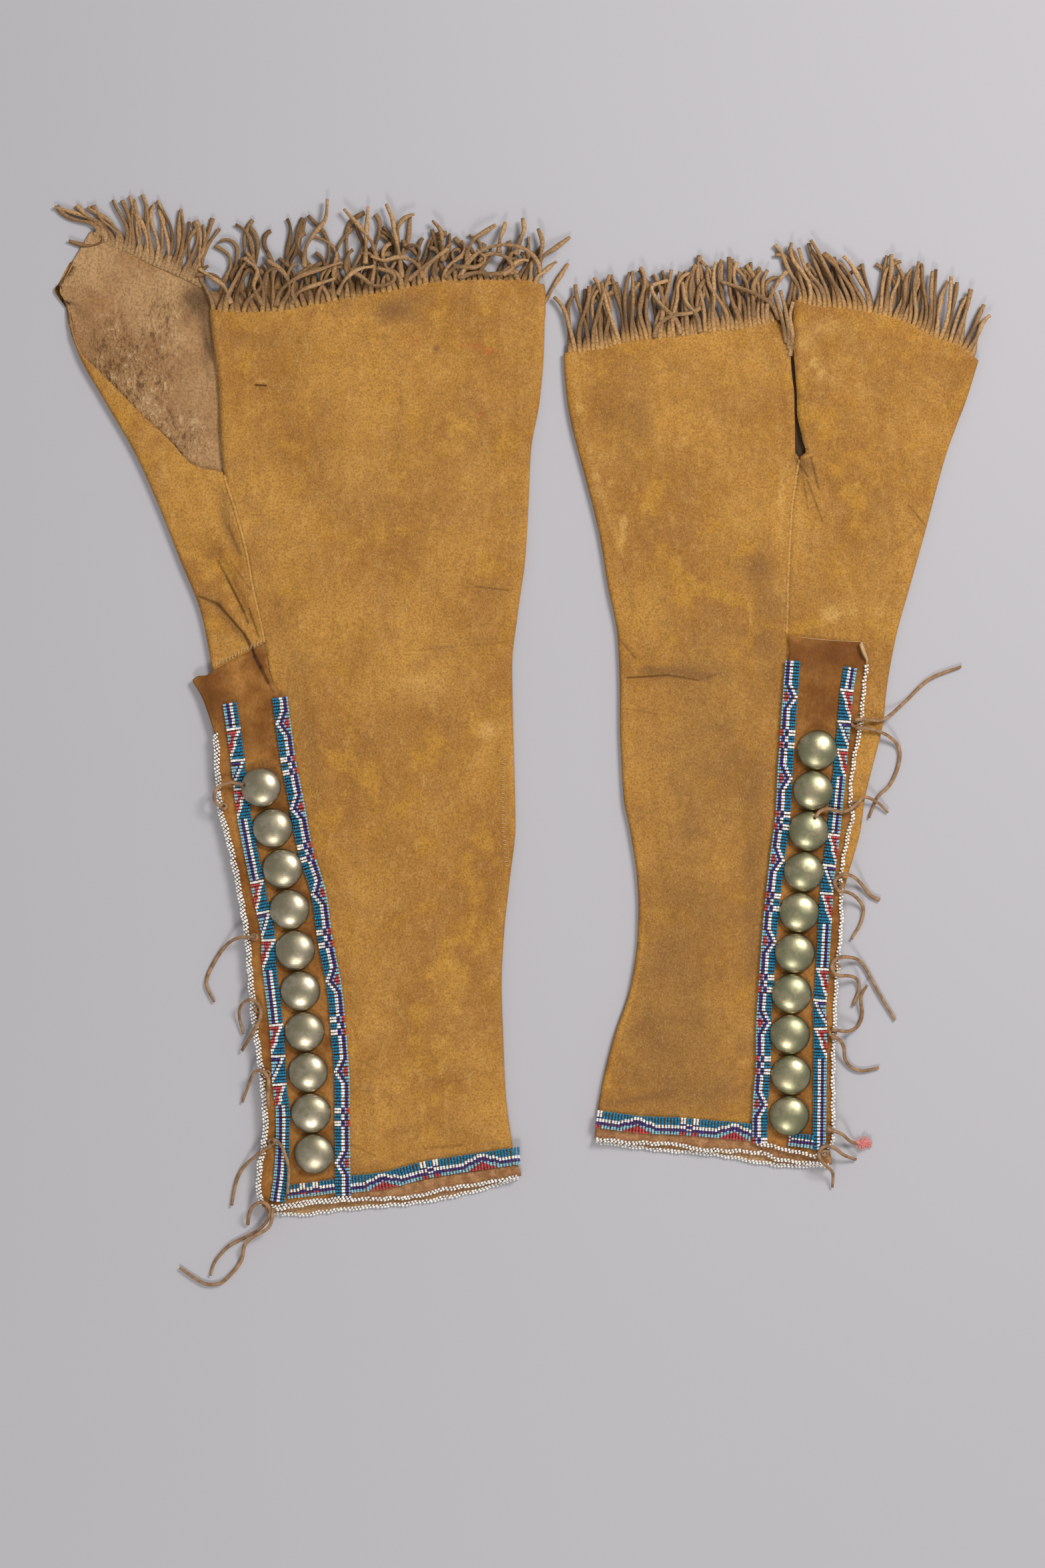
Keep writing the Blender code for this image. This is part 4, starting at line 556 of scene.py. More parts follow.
class Leg:
    """The curves of one legging and the heights of its layers."""

    def __init__(self, side, table):
        self.table = table
        self.left, self.right = curves(table["sections"])
        self.seam_left = Curve([(y, x - gap / 2) for y, x, gap in table["seam"]])
        self.seam_right = Curve([(y, x + gap / 2) for y, x, gap in table["seam"]])
        for name in ("top_left", "top_back", "top_right", "hide_foot_front", "hide_foot_back"):
            setattr(self, name, Curve(table[name]))
        self.hem_foot_front, self.hem_foot_back = Curve(table["hem_foot_front"]), Curve(table["hem_foot_back"])
        self.flap_left, self.flap_right = curves(FLAPS[side])
        self.flap_top, self.flap_foot = (Curve(pairs) for pairs in FLAP_ENDS[side])
        shoulder = 0.5 + 0.5 * math.cos(math.pi * FOLD_SHOULDER / FOLD_REACH)
        self.fold = Curve([(0, FOLD_LIFT), (FOLD_SHOULDER, shoulder * FOLD_LIFT), (FOLD_REACH, 0)])

    def front_z(self, x, y):
        """Middle of the front layer: its level, the rise at a side fold, the creases away from folds and flap, and
        beyond the folds a droop."""
        inset = np.minimum(x - self.left(y), self.right(y) - x) - FOLD_INSET
        across = np.maximum(np.maximum(self.flap_left(y) - x, x - self.flap_right(y)), 0)
        beside = np.hypot(across, np.maximum(y - self.flap_top(x), 0))
        free = np.clip(inset / FOLD_REACH, 0, 1) * np.clip((beside - FLAP_CLEARANCE) / FLAP_CLEARANCE, 0, 1)
        droop = OVERHANG_DROOP * np.maximum(0, -inset - OVERHANG_LEVEL)
        return MID_Z + self.fold(inset) + free * (raised(self.table["creases"], x, y) + drape(x, y)) - droop

    def flap_z(self, x, y):
        """Upper face of the flap, which bridges the hide's bends."""
        under = np.maximum(self.front_z(x - FLAP_BRIDGE, y), self.front_z(x + FLAP_BRIDGE, y))
        return np.maximum(under, self.front_z(x, y)) + WALL / 2 + SEAT_GAP + FLAP_THICKNESS

    def columns(self, pitch):
        """Lines round the tube from the seam's left edge, round the back, to its right edge. Each is a sum of shares of
        the four guides (left fold, right fold, seam's left and right edge) with an offset and a lift, and its last
        number says how far round the fold it stands: 0 on the front and 1 on the back."""
        halfway = 0.0
        seam = (self.seam_left(halfway), self.seam_right(halfway))
        left, right = self.left(halfway), self.right(halfway)
        counts = [(seam[0] - left) / pitch, (right - left) / (BACK_SPACING * pitch), (right - seam[1]) / pitch]
        counts = [max(8, round(count)) for count in counts]
        front, back, last = np.linspace(1, 0, counts[0], endpoint=False), *(np.linspace(0, 1, n) for n in counts[1:])
        back, last = back[1:-1], last[1:]
        angle = np.linspace(np.pi / 2, -np.pi / 2, FOLD_STATIONS)
        turn, lift, down = FOLD_RADIUS * np.cos(angle), FOLD_RADIUS * (1 + np.sin(angle)), (np.pi / 2 - angle) / np.pi
        strips = [
            (front, {0: 1 - front, 2: front}),
            (turn, {0: 1, 4: -turn, 5: lift, 6: down}),
            (back, {0: 1 - back, 1: back, 6: 1}),
            (turn, {1: 1, 4: turn[::-1], 5: lift[::-1], 6: down[::-1]}),
            (last, {1: 1 - last, 3: last}),
        ]
        rows = [np.zeros((len(along), 7)) for along, _ in strips]
        for made, (_, values) in zip(rows, strips):
            for k, value in values.items():
                made[:, k] = value
        return np.concatenate(rows), np.repeat(np.arange(5), [len(made) for made in rows])

    def across(self, columns, y):
        guides = (self.left(y) + FOLD_INSET, self.right(y) - FOLD_INSET, self.seam_left(y), self.seam_right(y))
        return sum(columns[:, k] * guide for k, guide in enumerate(guides)) + columns[:, 4]

    def edge(self, columns, part, left_front, back, right_front):
        """Height where each column meets an edge given for each layer, found by halving the step towards it."""
        y = np.zeros(len(columns))
        down = columns[:, 6] ** 2
        for _ in range(HALVINGS):
            x = self.across(columns, y)
            front = np.where(part < 2, left_front(x), right_front(x))
            y = 0.5 * y + 0.5 * ((1 - down) * front + down * back(x))
        return y

    def wall(self, columns, part, top, foot, pitch):
        """The middle of the wall between two edges: level rows a pitch apart, each held between its column's top and
        foot, and its faces. Points held at an edge become one point there."""
        level = np.arange(top.max(), foot.min() - pitch, -pitch)[:, None]
        first = np.maximum(np.argmax(level < top, axis=0) - 1, 0)
        last = np.argmax(level <= foot, axis=0)
        y = np.clip(level, foot, top)
        x = self.across(columns, y)
        front = (part == 0) | (part == 4)
        back_z = WALL / 2 + columns[:, 5] + (part == 2) * np.maximum(raised(self.table["back_creases"], x, y), 0)
        z = np.where(front[None], self.front_z(x, y), back_z)
        row, column = np.indices(x.shape)
        number = np.clip(row, first, last) * x.shape[1] + column
        quads = np.stack([number[:-1, :-1], number[:-1, 1:], number[1:, 1:], number[1:, :-1]], axis=-1).reshape(-1, 4)
        flat_left, flat_right = quads[:, 0] == quads[:, 3], quads[:, 1] == quads[:, 2]
        whole = quads[~flat_left & ~flat_right]
        halves = np.concatenate([quads[flat_left & ~flat_right][:, :3], quads[~flat_left & flat_right][:, [0, 1, 3]]])
        used, order = np.unique(np.concatenate([whole.ravel(), halves.ravel()]), return_inverse=True)
        faces = [order[: whole.size].reshape(-1, 4), order[whole.size :].reshape(-1, 3)]
        return np.stack([x, y, z], axis=-1).reshape(-1, 3)[used], faces, used % x.shape[1]


def grid_faces(rows, columns):
    """Quads over a grid of points, in the order that turns them towards the reader of the rows."""
    number = np.arange(rows * columns).reshape(rows, columns)
    return np.stack([number[:-1, :-1], number[1:, :-1], number[1:, 1:], number[:-1, 1:]], axis=-1).reshape(-1, 4)


def thicken(piece, thickness, offset):
    """Gives a sheet its wall. The inner face and the rim take the second finish."""
    wall = piece.modifiers.new("wall", "SOLIDIFY")
    wall.thickness = thickness * MM
    wall.offset = offset
    wall.use_even_offset = True
    wall.material_offset = wall.material_offset_rim = 1


# Soft marks on the painted side: place, half widths, and how dark (or below 0, how pale) the mark is.
MARKS = [
    (-50, 218, 2.6, 2.6, 0.9), (-60, 236, 14, 5, 0.4), (-81, 241, 10, 7, 0.5), (-150, 225, 40, 8, 0.3),
    (-60, 248, 70, 7, 0.3), (10, 150, 5, 90, 0.25), (-178, 120, 8, 24, 0.35), (-178, 30, 7, 20, 0.3),
    (-145, 30, 12, 60, 0.25), (-128, -60, 9, 90, 0.3), (-60, 30, 45, 10, 0.2), (-18, 70, 12, 10, 0.4),
    (-40, -190, 30, 50, -0.3), (-90, 130, 40, 30, -0.35), (-58, 12, 22, 12, -0.4), (-60, 40, 50, 60, -0.12),
    (-20, -16, 7, 7, -0.5), (-30, 150, 18, 60, -0.3), (-60, -262, 45, 6, 0.35), (57, 136, 2.4, 2.4, -0.8),
    (66, 111, 2.6, 2.6, -0.7), (139, 51, 2.4, 2.4, -0.8), (176, 150, 6, 8, 0.9), (184, 197, 13, 30, -0.25),
    (182, 210, 3, 3, -0.9), (187, 203, 2.4, 3.5, -0.8), (190, 232, 20, 7, -0.5), (176, 222, 5, 6, -0.6),
    (60, 180, 22, 26, 0.3), (48, 226, 40, 6, 0.25), (95, 21, 40, 5, 0.25), (152, 60, 9, 50, 0.35),
    (200, 60, 24, 11, -0.3), (192, 55, 5, 4, -0.9), (147, 85, 8, 8, 0.35), (76, 170, 9, 16, 0.4),
    (160, 128, 5, 18, -0.2), (225, 100, 16, 50, -0.25), (115, -20, 45, 90, 0.5), (95, -150, 45, 60, 0.45),
    (90, -215, 45, 40, 0.45), (145, -120, 8, 90, 0.4), (120, -238, 40, 10, 0.3), (-72, 168, 8, 30, 0.3),
    (-59, 106, 1.8, 1.8, 1.0), (-73, 243, 10, 6, 0.35), (-18, -16, 5, 5, -0.5),
]
# Lines of painted shade along creases and painted highlight along ridges: from one place to another, how dark (or
# below 0, how pale), and the half width.
PAINTED_CREASE_SHADE_AND_HIGHLIGHT = [
    (-195.6, 66.4, -184, 61.7, 0.35, 2.4), (-184, 61.7, -162, 34, 0.35, 2.6), (-181, 82, -166, 50, 0.3, 2.4),
    (-181, 118, -170.5, 88, 0.3, 2.4), (-176, 60, -166, 42, -0.35, 2.2), (-178, 134, -167.6, 99, -0.4, 1.8),
    (-34.8, 39.6, -4.5, 41.8, 0.3, 1.8), (-161.5, 199.4, -154, 198.6, -0.5, 1.5), (64.5, 116, 64.5, 101, -0.7, 1.5),
    (142, 62.6, 143.4, 49, -0.7, 1.5), (180, 151, 184.5, 133, 0.3, 2.2), (176, 152.6, 183, 149, -0.8, 1.6),
    (229, 93, 247, 109, 0.4, 1.8), (78, 22, 118, 17, 0.35, 1.8), (52, -246, 96, -238, 0.3, 1.8),
    (36, 200, 38, 182, -0.45, 2.4), (38, 182, 48, 140, -0.45, 2.4), (48, 140, 64, 91, -0.4, 2.4),
    (162.8, 150, 161, 70, -0.35, 1.8),
]
# Faint smears of red paint: place, half widths and strength.
SMEARS = [
    (-23, 178, 4, 3, 0.4), (-28, 220, 7, 1.8, 0.6), (-18, 217, 5, 2.0, 0.7), (-62, 222, 2.5, 6, 0.35),
    (-116, 102, 6, 2.5, 0.4), (-106, 82, 2.5, 8, 0.4),
]


def spots(marks, x, y):
    """Each mark adds its strength times exp(-((x - place) / half width)² - the same in Y)."""
    total = np.zeros(x.shape)
    for mark_x, mark_y, wide, high, strength in marks:
        total += strength * np.exp(-(((x - mark_x) / wide) ** 2) - ((y - mark_y) / high) ** 2)
    return total


def hide_paint(name, shade, fold_shade_lines):
    """Yellow ochre rubbed into the hide: clouds and patches of paler and browner paint, its nap, the marks with painted
    shade and highlight along creases, and painted shade in the bottoms of the sharpest folds."""
    paint = Finish(name, 0.95, Specular_IOR_Level=0.12)
    clouds = paint.noise(75, 4.0, 0.62)
    patches = paint.noise(19, 4.0, 0.6)
    rubbed = paint.noise(6, 4.0, 0.65, (1, 1.8, 1), 0.2)
    nap = paint.noise(1.3, 3.0, 0.6)
    fibres = paint.noise(0.6, 2.0, 0.6, (1, 2.5, 1), 0.3)
    mark = paint.attribute("mark")

    def tone(red, green, blue):
        return (red * shade, 0.96 * green * shade, 0.86 * blue * shade)

    smear = paint.attribute("smear")
    ochre = paint.blend(clouds, 0.38, 0.62, tone(0.37, 0.17, 0.042), tone(0.54, 0.275, 0.066))
    ochre = paint.cover(ochre, patches, 0.46, 0.7, 0.5, tone(0.34, 0.165, 0.06))
    ochre = paint.cover(ochre, patches + 0.8 * clouds, 0.86, 0.64, 0.5, tone(0.63, 0.33, 0.05))
    ochre = paint.cover(ochre, rubbed, 0.5, 0.72, 0.32, tone(0.66, 0.4, 0.13))
    ochre = paint.cover(ochre, rubbed, 0.5, 0.28, 0.36, tone(0.26, 0.115, 0.03))
    # Darker under dark marks and painted crease shade, paler under pale marks and painted ridge highlight.
    ochre = paint.cover(ochre, mark + 0.5 * patches, 0.25, 1.1, 0.85, tone(0.22, 0.11, 0.045))
    ochre = paint.cover(ochre, mark + 0.4 * patches, 0.1, -0.6, 0.55, tone(0.72, 0.44, 0.15))
    ochre = paint.cover(ochre, smear, 0.05, 0.6, 0.45, (0.45, 0.1, 0.035))
    ochre = paint.cover(ochre, nap, 0.6, 0.34, 0.5, tone(0.2, 0.085, 0.018))
    ochre = paint.cover(ochre, fibres, 0.5, 0.8, 0.4, tone(0.75, 0.48, 0.18))
    painted_fold_shade = 0.0
    for x0, y0, x1, y1, width, strength in fold_shade_lines:
        one = strength * paint.line(x0, y0, x1, y1, width)
        painted_fold_shade = one.math("MAXIMUM", painted_fold_shade)
    # Painted shade along the bottoms of the sharpest folds.
    paint.colour(paint.mix(painted_fold_shade, ochre, tone(0.07, 0.03, 0.01)))
    paint.relief(nap + 0.5 * fibres + 1.2 * rubbed, 0.45)
    return paint


# Painted shade in the bottoms of the sharpest folds: from one place to another, how wide the dark line is, and how
# dark.
PAINTED_FOLD_SHADE_LINES = {
    "left": [
        (-195.6, 66.4, -184, 61.7, 2.6, 0.6), (-184, 61.7, -168.1, 43.5, 2.8, 0.75),
        (-168.1, 43.5, -162.9, 33.5, 3.4, 0.85), (-184, 88, -179.2, 79, 2.4, 0.5),
        (-179.2, 79, -168.1, 56.8, 2.6, 0.75), (-168.1, 56.8, -165.5, 50, 2.2, 0.45),
        (-165.1, 59, -159.2, 42, 2.2, 0.55), (-176.2, 87.8, -164.4, 70.8, 1.7, 0.35),
        (-177.7, 109.2, -170.3, 92.3, 3.6, 0.35), (-161, 196.2, -154.5, 195.8, 2.0, 0.9),
        (-26, 72.3, -6, 70.2, 2.2, 0.4), (-60, 33.5, -6, 38.5, 2.2, 0.16), (-102, -270.5, -88, -277, 2.6, 0.3),
        (-97, -218, -79, -228.7, 2.6, 0.2), (-57, -272.5, -35, -270.5, 2.6, 0.3),
    ],
    "right": [
        (170.6, 150.5, 178, 140, 2.4, 0.45), (180, 151, 184.5, 133, 2.4, 0.5), (174, 146, 178, 120, 2.2, 0.3),
        (177.7, 137.8, 187, 112.8, 2.2, 0.35), (62.7, 39.8, 72, 28.9, 2.4, 0.4), (67.4, 16.4, 92.2, 18, 2.2, 0.65),
        (92.2, 18, 110.9, 14.9, 2.0, 0.5), (110.9, 14.9, 124.9, 19.6, 1.8, 0.25), (64.2, -2.2, 92.2, -6.8, 2.0, 0.2),
        (240, 122.2, 250, 110.2, 2.2, 0.4),
    ],
}
PAINT_SHADES = {"left": 0.95, "right": 0.93}
paints = {side: hide_paint(f"painted_hide_{side}", PAINT_SHADES[side], lines) for side, lines in PAINTED_FOLD_SHADE_LINES.items()}

flesh = Finish("flesh_side", 0.95, Specular_IOR_Level=0.15)
buff_clouds = flesh.noise(40, 4.0, 0.6)
pile = flesh.noise(1.6, 4.0, 0.65)
tufts = flesh.noise(4.5, 4.0, 0.65, (1, 1.5, 1), 0.5)
rough_share = flesh.fade(flesh.attribute("rough"), 0.0, 0.7, 0.15, 1.0)
buff = flesh.blend(buff_clouds, 0.35, 0.7, (0.4, 0.21, 0.088), (0.56, 0.33, 0.15))
# Painted shade in the pits between tufts and painted highlight on their tops, where the flesh side is rough.
buff = flesh.mix(flesh.fade(tufts, 0.48, 0.36) * rough_share, buff, (0.2, 0.1, 0.042))
buff = flesh.mix(flesh.fade(tufts, 0.54, 0.66) * rough_share * 0.8, buff, (0.7, 0.47, 0.25))
buff = flesh.cover(buff, pile, 0.6, 0.34, 0.5, (0.2, 0.095, 0.04))
# Painted shade in the right slit and under the left front fringe.
buff = flesh.cover(buff, flesh.attribute("dusk"), 0, 1, 0.93, (0.045, 0.025, 0.015))
flesh.colour(buff)
flesh.relief(pile + tufts * rough_share * 4.5, 1.3)

# Where the left legging's turned-back corner is rough, and painted shade on the flesh side: in the right one's slit and
# under the left one's front fringe.
ROUGH = [(-228, 200, 14, 30, 1.0), (-250, 215, 10, 25, 0.8), (-205, 165, 16, 16, 0.7), (-212, 240, 14, 20, 0.4)]
PAINTED_SHADE_SPOTS = [(170, 215, 9, 40, 1.2), (173, 160, 9, 24, 1.2), (-199, 249, 9, 13, 0.7), (-190.5, 226, 4, 26, 0.75)]

HIDE_PITCH = 2.2
legs = {"left": Leg("left", LEFT), "right": Leg("right", RIGHT)}
HIDE_CUTS = {"left": (0.6, 0.593, 0.209), "right": (0.52, 0.516, 0.168)}
for side, leg in legs.items():
    columns, part = leg.columns(HIDE_PITCH)
    top = leg.edge(columns, part, leg.top_left, leg.top_back, leg.top_right)
    foot = leg.edge(columns, part, leg.hide_foot_front, leg.hide_foot_back, leg.hide_foot_front)
    wall, faces, column = leg.wall(columns, part, top, foot, HIDE_PITCH)
    outside = ((part == 0) | (part == 4))[column]
    x, y = wall[:, 0], wall[:, 1]
    marks = {
        # The soft marks, with the painted crease shade and ridge highlight added to them.
        "mark": (spots(MARKS, x, y) + raised(PAINTED_CREASE_SHADE_AND_HIGHLIGHT, x, y)) * outside,
        "smear": spots(SMEARS, x, y) * outside,
        "rough": spots(ROUGH, x, y),
        "dusk": spots(PAINTED_SHADE_SPOTS, x, y) * ~outside,
    }
    finishes = [paints[side], flesh]
    hide = new_piece(f"{side}_hide_leather", wall, faces, finishes, "hide", [f"{side}_hide"], **marks)
    thicken(hide, WALL, 0)
    width, length, area = HIDE_CUTS[side]

# Below its slit each seam stands up as a low welt, its paint made paler.
WELT_WIDTH, WELT_THICKNESS, WELT_SINK, WELT_MARK = 1.7, 0.9, 0.05, -0.6
WELTS = {"left": (141, 38), "right": (150, 43)}
for side, leg in legs.items():
    y = np.linspace(*WELTS[side], 70)
    x = (leg.seam_left(y) + leg.seam_right(y)) / 2
    path = np.column_stack([x, y, leg.front_z(x, y) + WALL / 2 - WELT_SINK])
    points, faces = tubes([path], WELT_WIDTH, WELT_THICKNESS, 0, sides=8)
    pale = np.full(points[..., 0].size, WELT_MARK)
    new_piece(f"{side}_seam_welt", points, faces, [paints[side]], "hide", mark=pale)

# --- Hem bands
# A band of brown leather is sewn round each ankle below the ochre hide, with a thin red-brown line painted round it.
# It has the hide's two layers, and its back reaches a little lower than its front.
hem_leather = Finish("hem_leather", 0.85, Specular_IOR_Level=0.2)
down = hem_leather.attribute("down")
scuffs = hem_leather.noise(5, 4.0, 0.6)
grain = hem_leather.noise(1.1, 3.0, 0.6)
line = hem_leather.fade(down, 0.24, 0.3) * hem_leather.fade(down, 0.42, 0.36)
brown = hem_leather.blend(scuffs, 0.35, 0.7, (0.27, 0.12, 0.045), (0.46, 0.232, 0.1))
brown = hem_leather.mix(line * 0.8, brown, (0.12, 0.035, 0.02))
hem_leather.colour(hem_leather.cover(brown, grain, 0.6, 0.3, 0.4, (0.1, 0.05, 0.025)))
hem_leather.relief(grain + scuffs, 0.4)

HEM_PITCH = 1.6
for side, leg in legs.items():
    columns, part = leg.columns(HIDE_PITCH)
    top = leg.edge(columns, part, leg.hide_foot_front, leg.hide_foot_back, leg.hide_foot_front) - SEAM_GAP
    foot = leg.edge(columns, part, leg.hem_foot_front, leg.hem_foot_back, leg.hem_foot_front)
    wall, faces, column = leg.wall(columns, part, top, foot, HEM_PITCH)
    share = (top[column] - wall[:, 1]) / (top - foot)[column]
    finishes = [hem_leather, flesh]
    band = new_piece(f"{side}_hem_leather", wall, faces, finishes, "leather", [f"{side}_hem_band"], down=share)
    thicken(band, WALL, 0)

# --- Flaps
# A panel of darker, reddish brown leather lies over the ankle half of the seam. It is stitched down across its top and
# along its inner side, and its outer side is free.
flap_leather = Finish("flap_leather", 0.85, Specular_IOR_Level=0.2)
blotches = flap_leather.noise(28, 4.0, 0.6)
rubs = flap_leather.noise(8, 3.0, 0.6)
suede = flap_leather.noise(1.2, 4.0, 0.65, (1, 1.8, 1), 0.1)
darkness = flap_leather.attribute("dark") + 0.5 * rubs
tan = flap_leather.blend(blotches, 0.35, 0.68, (0.2, 0.07, 0.011), (0.42, 0.183, 0.041))
tan = flap_leather.cover(tan, rubs, 0.48, 0.75, 0.5, (0.46, 0.225, 0.068))
# Darker where each flap is darkest, which takes in one spot of painted shadow.
tan = flap_leather.cover(tan, darkness, 0.2, 1.2, 0.9, (0.135, 0.043, 0.008))
tan = flap_leather.cover(tan, suede, 0.62, 0.3, 0.4, (0.1, 0.032, 0.006))
# Painted shadow as a dark line along the left flap's upper inner edge, where it meets the hide: from one place to
# another, its width and its darkness.
FLAP_PAINTED_SHADOW_LINES = [
    (-163.2, 35, -161.4, 29.5, 2.6, 0.95), (-161.4, 29.5, -157.9, 22.9, 4.2, 0.8),
    (-157.9, 22.9, -153.2, 13.5, 3.6, 0.7), (-153.2, 13.5, -150.4, 8, 2.4, 0.4),
]
for x0, y0, x1, y1, width, strength in FLAP_PAINTED_SHADOW_LINES:
    tan = flap_leather.mix(strength * flap_leather.line(x0, y0, x1, y1, width), tan, (0.03, 0.012, 0.004))
flap_leather.colour(tan)
flap_leather.relief(suede, 0.35)
cut_edge = Finish("cut_edge", 0.9)
cut_edge.colour(cut_edge.mix(cut_edge.noise(3, 3.0), (0.4, 0.24, 0.11), (0.62, 0.42, 0.22)))

FLAP_COLUMNS, FLAP_ROWS = 52, 240
# The right flap's upper outer corner is rolled up: a place on the roll's line, the way out of it, and its radius.
ROLL_PLACE, ROLL_WAY, ROLL_RADIUS, ROLL_FOOT, ROLL_MOST = (210.2, 33.0), (0.95, 0.31), 1.35, 20, 3.0
# The same flap's top stands up a little: its height, its place and how far it reaches.
LIP_LIFT, LIP_PLACE, LIP_REACH = 0.4, 41, 3
# Where each flap is darkest; the second spot is painted shadow beside the left flap's upper inner edge.
FLAP_DARK_AND_PAINTED_SHADOW = [
    (-188, 5, 14, 16, 0.8), (-160, 25, 6, 12, 0.25), (-170, -20, 20, 14, 0.5), (190, 30, 26, 14, 0.75),
    (188, -5, 12, 22, 0.5),
]
FLAP_CUTS = {"left": (0.055, 0.34, 0.0181), "right": (0.05, 0.315, 0.0155)}
for side, leg in legs.items():
    share = np.linspace(0, 1, FLAP_COLUMNS)
    ends = []
    for end in (leg.flap_top, leg.flap_foot):
        y = np.zeros(FLAP_COLUMNS)
        for _ in range(HALVINGS):
            y = 0.5 * y + 0.5 * end(leg.flap_left(y) + share * (leg.flap_right(y) - leg.flap_left(y)))
        ends.append(y)
    y = ends[0] + (ends[1] - ends[0]) * np.linspace(0, 1, FLAP_ROWS)[:, None]
    x = leg.flap_left(y) + share * (leg.flap_right(y) - leg.flap_left(y))
    z = leg.flap_z(x, y)
    dark = spots(FLAP_DARK_AND_PAINTED_SHADOW, x, y)
    if side == "right":
        # Past the roll's line by d, a point goes to r sin(d / r) out of it and r (1 - cos(d / r)) above it.
        past = np.maximum((x - ROLL_PLACE[0]) * ROLL_WAY[0] + (y - ROLL_PLACE[1]) * ROLL_WAY[1], 0) * (y > ROLL_FOOT)
        turned = np.minimum(past / ROLL_RADIUS, ROLL_MOST)
        x = x + (ROLL_RADIUS * np.sin(turned) - past) * ROLL_WAY[0]
        y = y + (ROLL_RADIUS * np.sin(turned) - past) * ROLL_WAY[1]
        z = z + ROLL_RADIUS * (1 - np.cos(turned)) + LIP_LIFT * np.exp(-(((y - LIP_PLACE) / LIP_REACH) ** 2))
    points, faces = np.stack([x, y, z], axis=-1), [grid_faces(*x.shape)]
    finishes = [flap_leather, cut_edge]
    flap = new_piece(f"{side}_flap_leather", points, faces, finishes, "leather", [f"{side}_flap"], dark=dark)
    thicken(flap, FLAP_THICKNESS, -1)
    width, length, area = FLAP_CUTS[side]

# The right flap's top shows its pale cut edge.
CUT_EDGE_STEP, CUT_EDGE_SINK, CUT_EDGE_WIDTH, CUT_EDGE_THICKNESS = 1.2, 0.3, 1.1, 0.9
lip = smooth_path([(167, 41.3), (178, 40.4), (190, 39.2), (201, 38.4), (209, 38.1)], CUT_EDGE_STEP)
lip = np.column_stack([lip, legs["right"].flap_z(lip[:, 0], lip[:, 1]) - CUT_EDGE_SINK])
points, faces = tubes([lip], CUT_EDGE_WIDTH, CUT_EDGE_THICKNESS, 0, sides=6)
new_piece("right_flap_cut_edge", points, faces, [cut_edge], "leather")

# --- Bead lanes
# Glass seed beads sewn in short arched rows of nine, side by side across each lane, with one thread for a row. The
# rows are charted below from the lane's first side to its second, one letter for a bead.
BEAD_COLOURS = {
    "T": (0.004, 0.165, 0.29),
    "W": (0.86, 0.825, 0.76),
    "N": (0.045, 0.02, 0.17),
    "L": (0.24, 0.5, 0.58),
    "R": (0.5, 0.05, 0.06),
}
BEAD_RADIUS = 0.88
BEAD_ARCH = 0.55
ROW_PITCH = 1.93
STRIPE = ["LLNNWWTTT"]
BAR = ["WWWWWWWWW"]
RED_STEPS = [
    "RRRRRRWWT", "LLRRRWWTT", "LLRRWWTTT", "LRRWWTTTT", "RRRWWTTTT", "RRWWTTTTT", "RWWTTTTTT", "WWTTTTTTT",
    "WTTTTTTTT",
]
NAVY_STEPS = ["NNNNNNWWT", "LLLLNWWTT", "LLLNWWTTT", "LLNWWTTTT", "LNWWTTTTT", "NWWTTTTTT", "WWTTTTTTT", "WTTTTTTTT"]
TRIANGLES = BAR + RED_STEPS + BAR + NAVY_STEPS + BAR + RED_STEPS
OUTER_LEFT = 8 * STRIPE + TRIANGLES + 20 * STRIPE + TRIANGLES + 17 * STRIPE + TRIANGLES[:-3] + 40 * STRIPE
OUTER_RIGHT = 7 * STRIPE + TRIANGLES[:-1] + 18 * STRIPE + TRIANGLES + 14 * STRIPE + TRIANGLES + 40 * STRIPE
RIPPLE = ["TTTTWWNNL"]
BUMP = ["TTTWWNNLL", "TTWWNNLLL", "TWWNNLRRL", "WWNNLRRRL", "TWWNNLRRL", "TTWWNNLLL", "TTTWWNNLL"]
PAIRS = 2 * ["WWWWNNLRR"] + 2 * RIPPLE + 2 * ["WWWWNNLRR"]
INNER_LEFT = 5 * RIPPLE + BUMP + 7 * RIPPLE + PAIRS + 7 * RIPPLE + 2 * (BUMP + 8 * RIPPLE + PAIRS + 7 * RIPPLE)
INNER_LEFT += 4 * (BUMP + 8 * RIPPLE + PAIRS + 8 * RIPPLE)
INNER_RIGHT = 8 * RIPPLE + 7 * (BUMP + 7 * RIPPLE + PAIRS + 6 * RIPPLE)
HEM_STRIPE = ["TTTTTWWNNLL"]
HEM_RISE = ["TTTTTWWNNLL", "TTTTWWNNLLL", "TTTWWNNLLLR", "TTTWWNNLLRR", "TTWWNNLLRRR", "TWWNNNLRRRR"]
HEM_PEAK = HEM_RISE + ["TWWNNLRRRRR"] + HEM_RISE[::-1]
HEM_PAIRS = 2 * ["WWWWNWWNNRR"] + ["TTTTWNNWNLL", "TTTTWNNWNLL"] + 2 * ["WWWWNWWNNRR"]
HEM_LEFT = 4 * HEM_STRIPE + HEM_PEAK + 6 * HEM_STRIPE + HEM_PAIRS + 7 * HEM_STRIPE + HEM_PEAK + 12 * HEM_STRIPE
HEM_RIGHT = HEM_PAIRS[:2] + 5 * HEM_STRIPE + HEM_PEAK + 7 * HEM_STRIPE
HEM_RIGHT += HEM_PAIRS + 5 * HEM_STRIPE + HEM_PEAK + 9 * HEM_STRIPE
FOOT_STRIPE = ["TTTWWNNLL"]
FOOT_BAR = ["WWWWNNRLL"]
FOOT_ROWS = 4 * FOOT_STRIPE + 2 * FOOT_BAR + 2 * FOOT_STRIPE + 2 * FOOT_BAR + 10 * FOOT_STRIPE
SHORT_ROWS = ["LLRWNWTT"] + 7 * ["LLNNWTTT"]
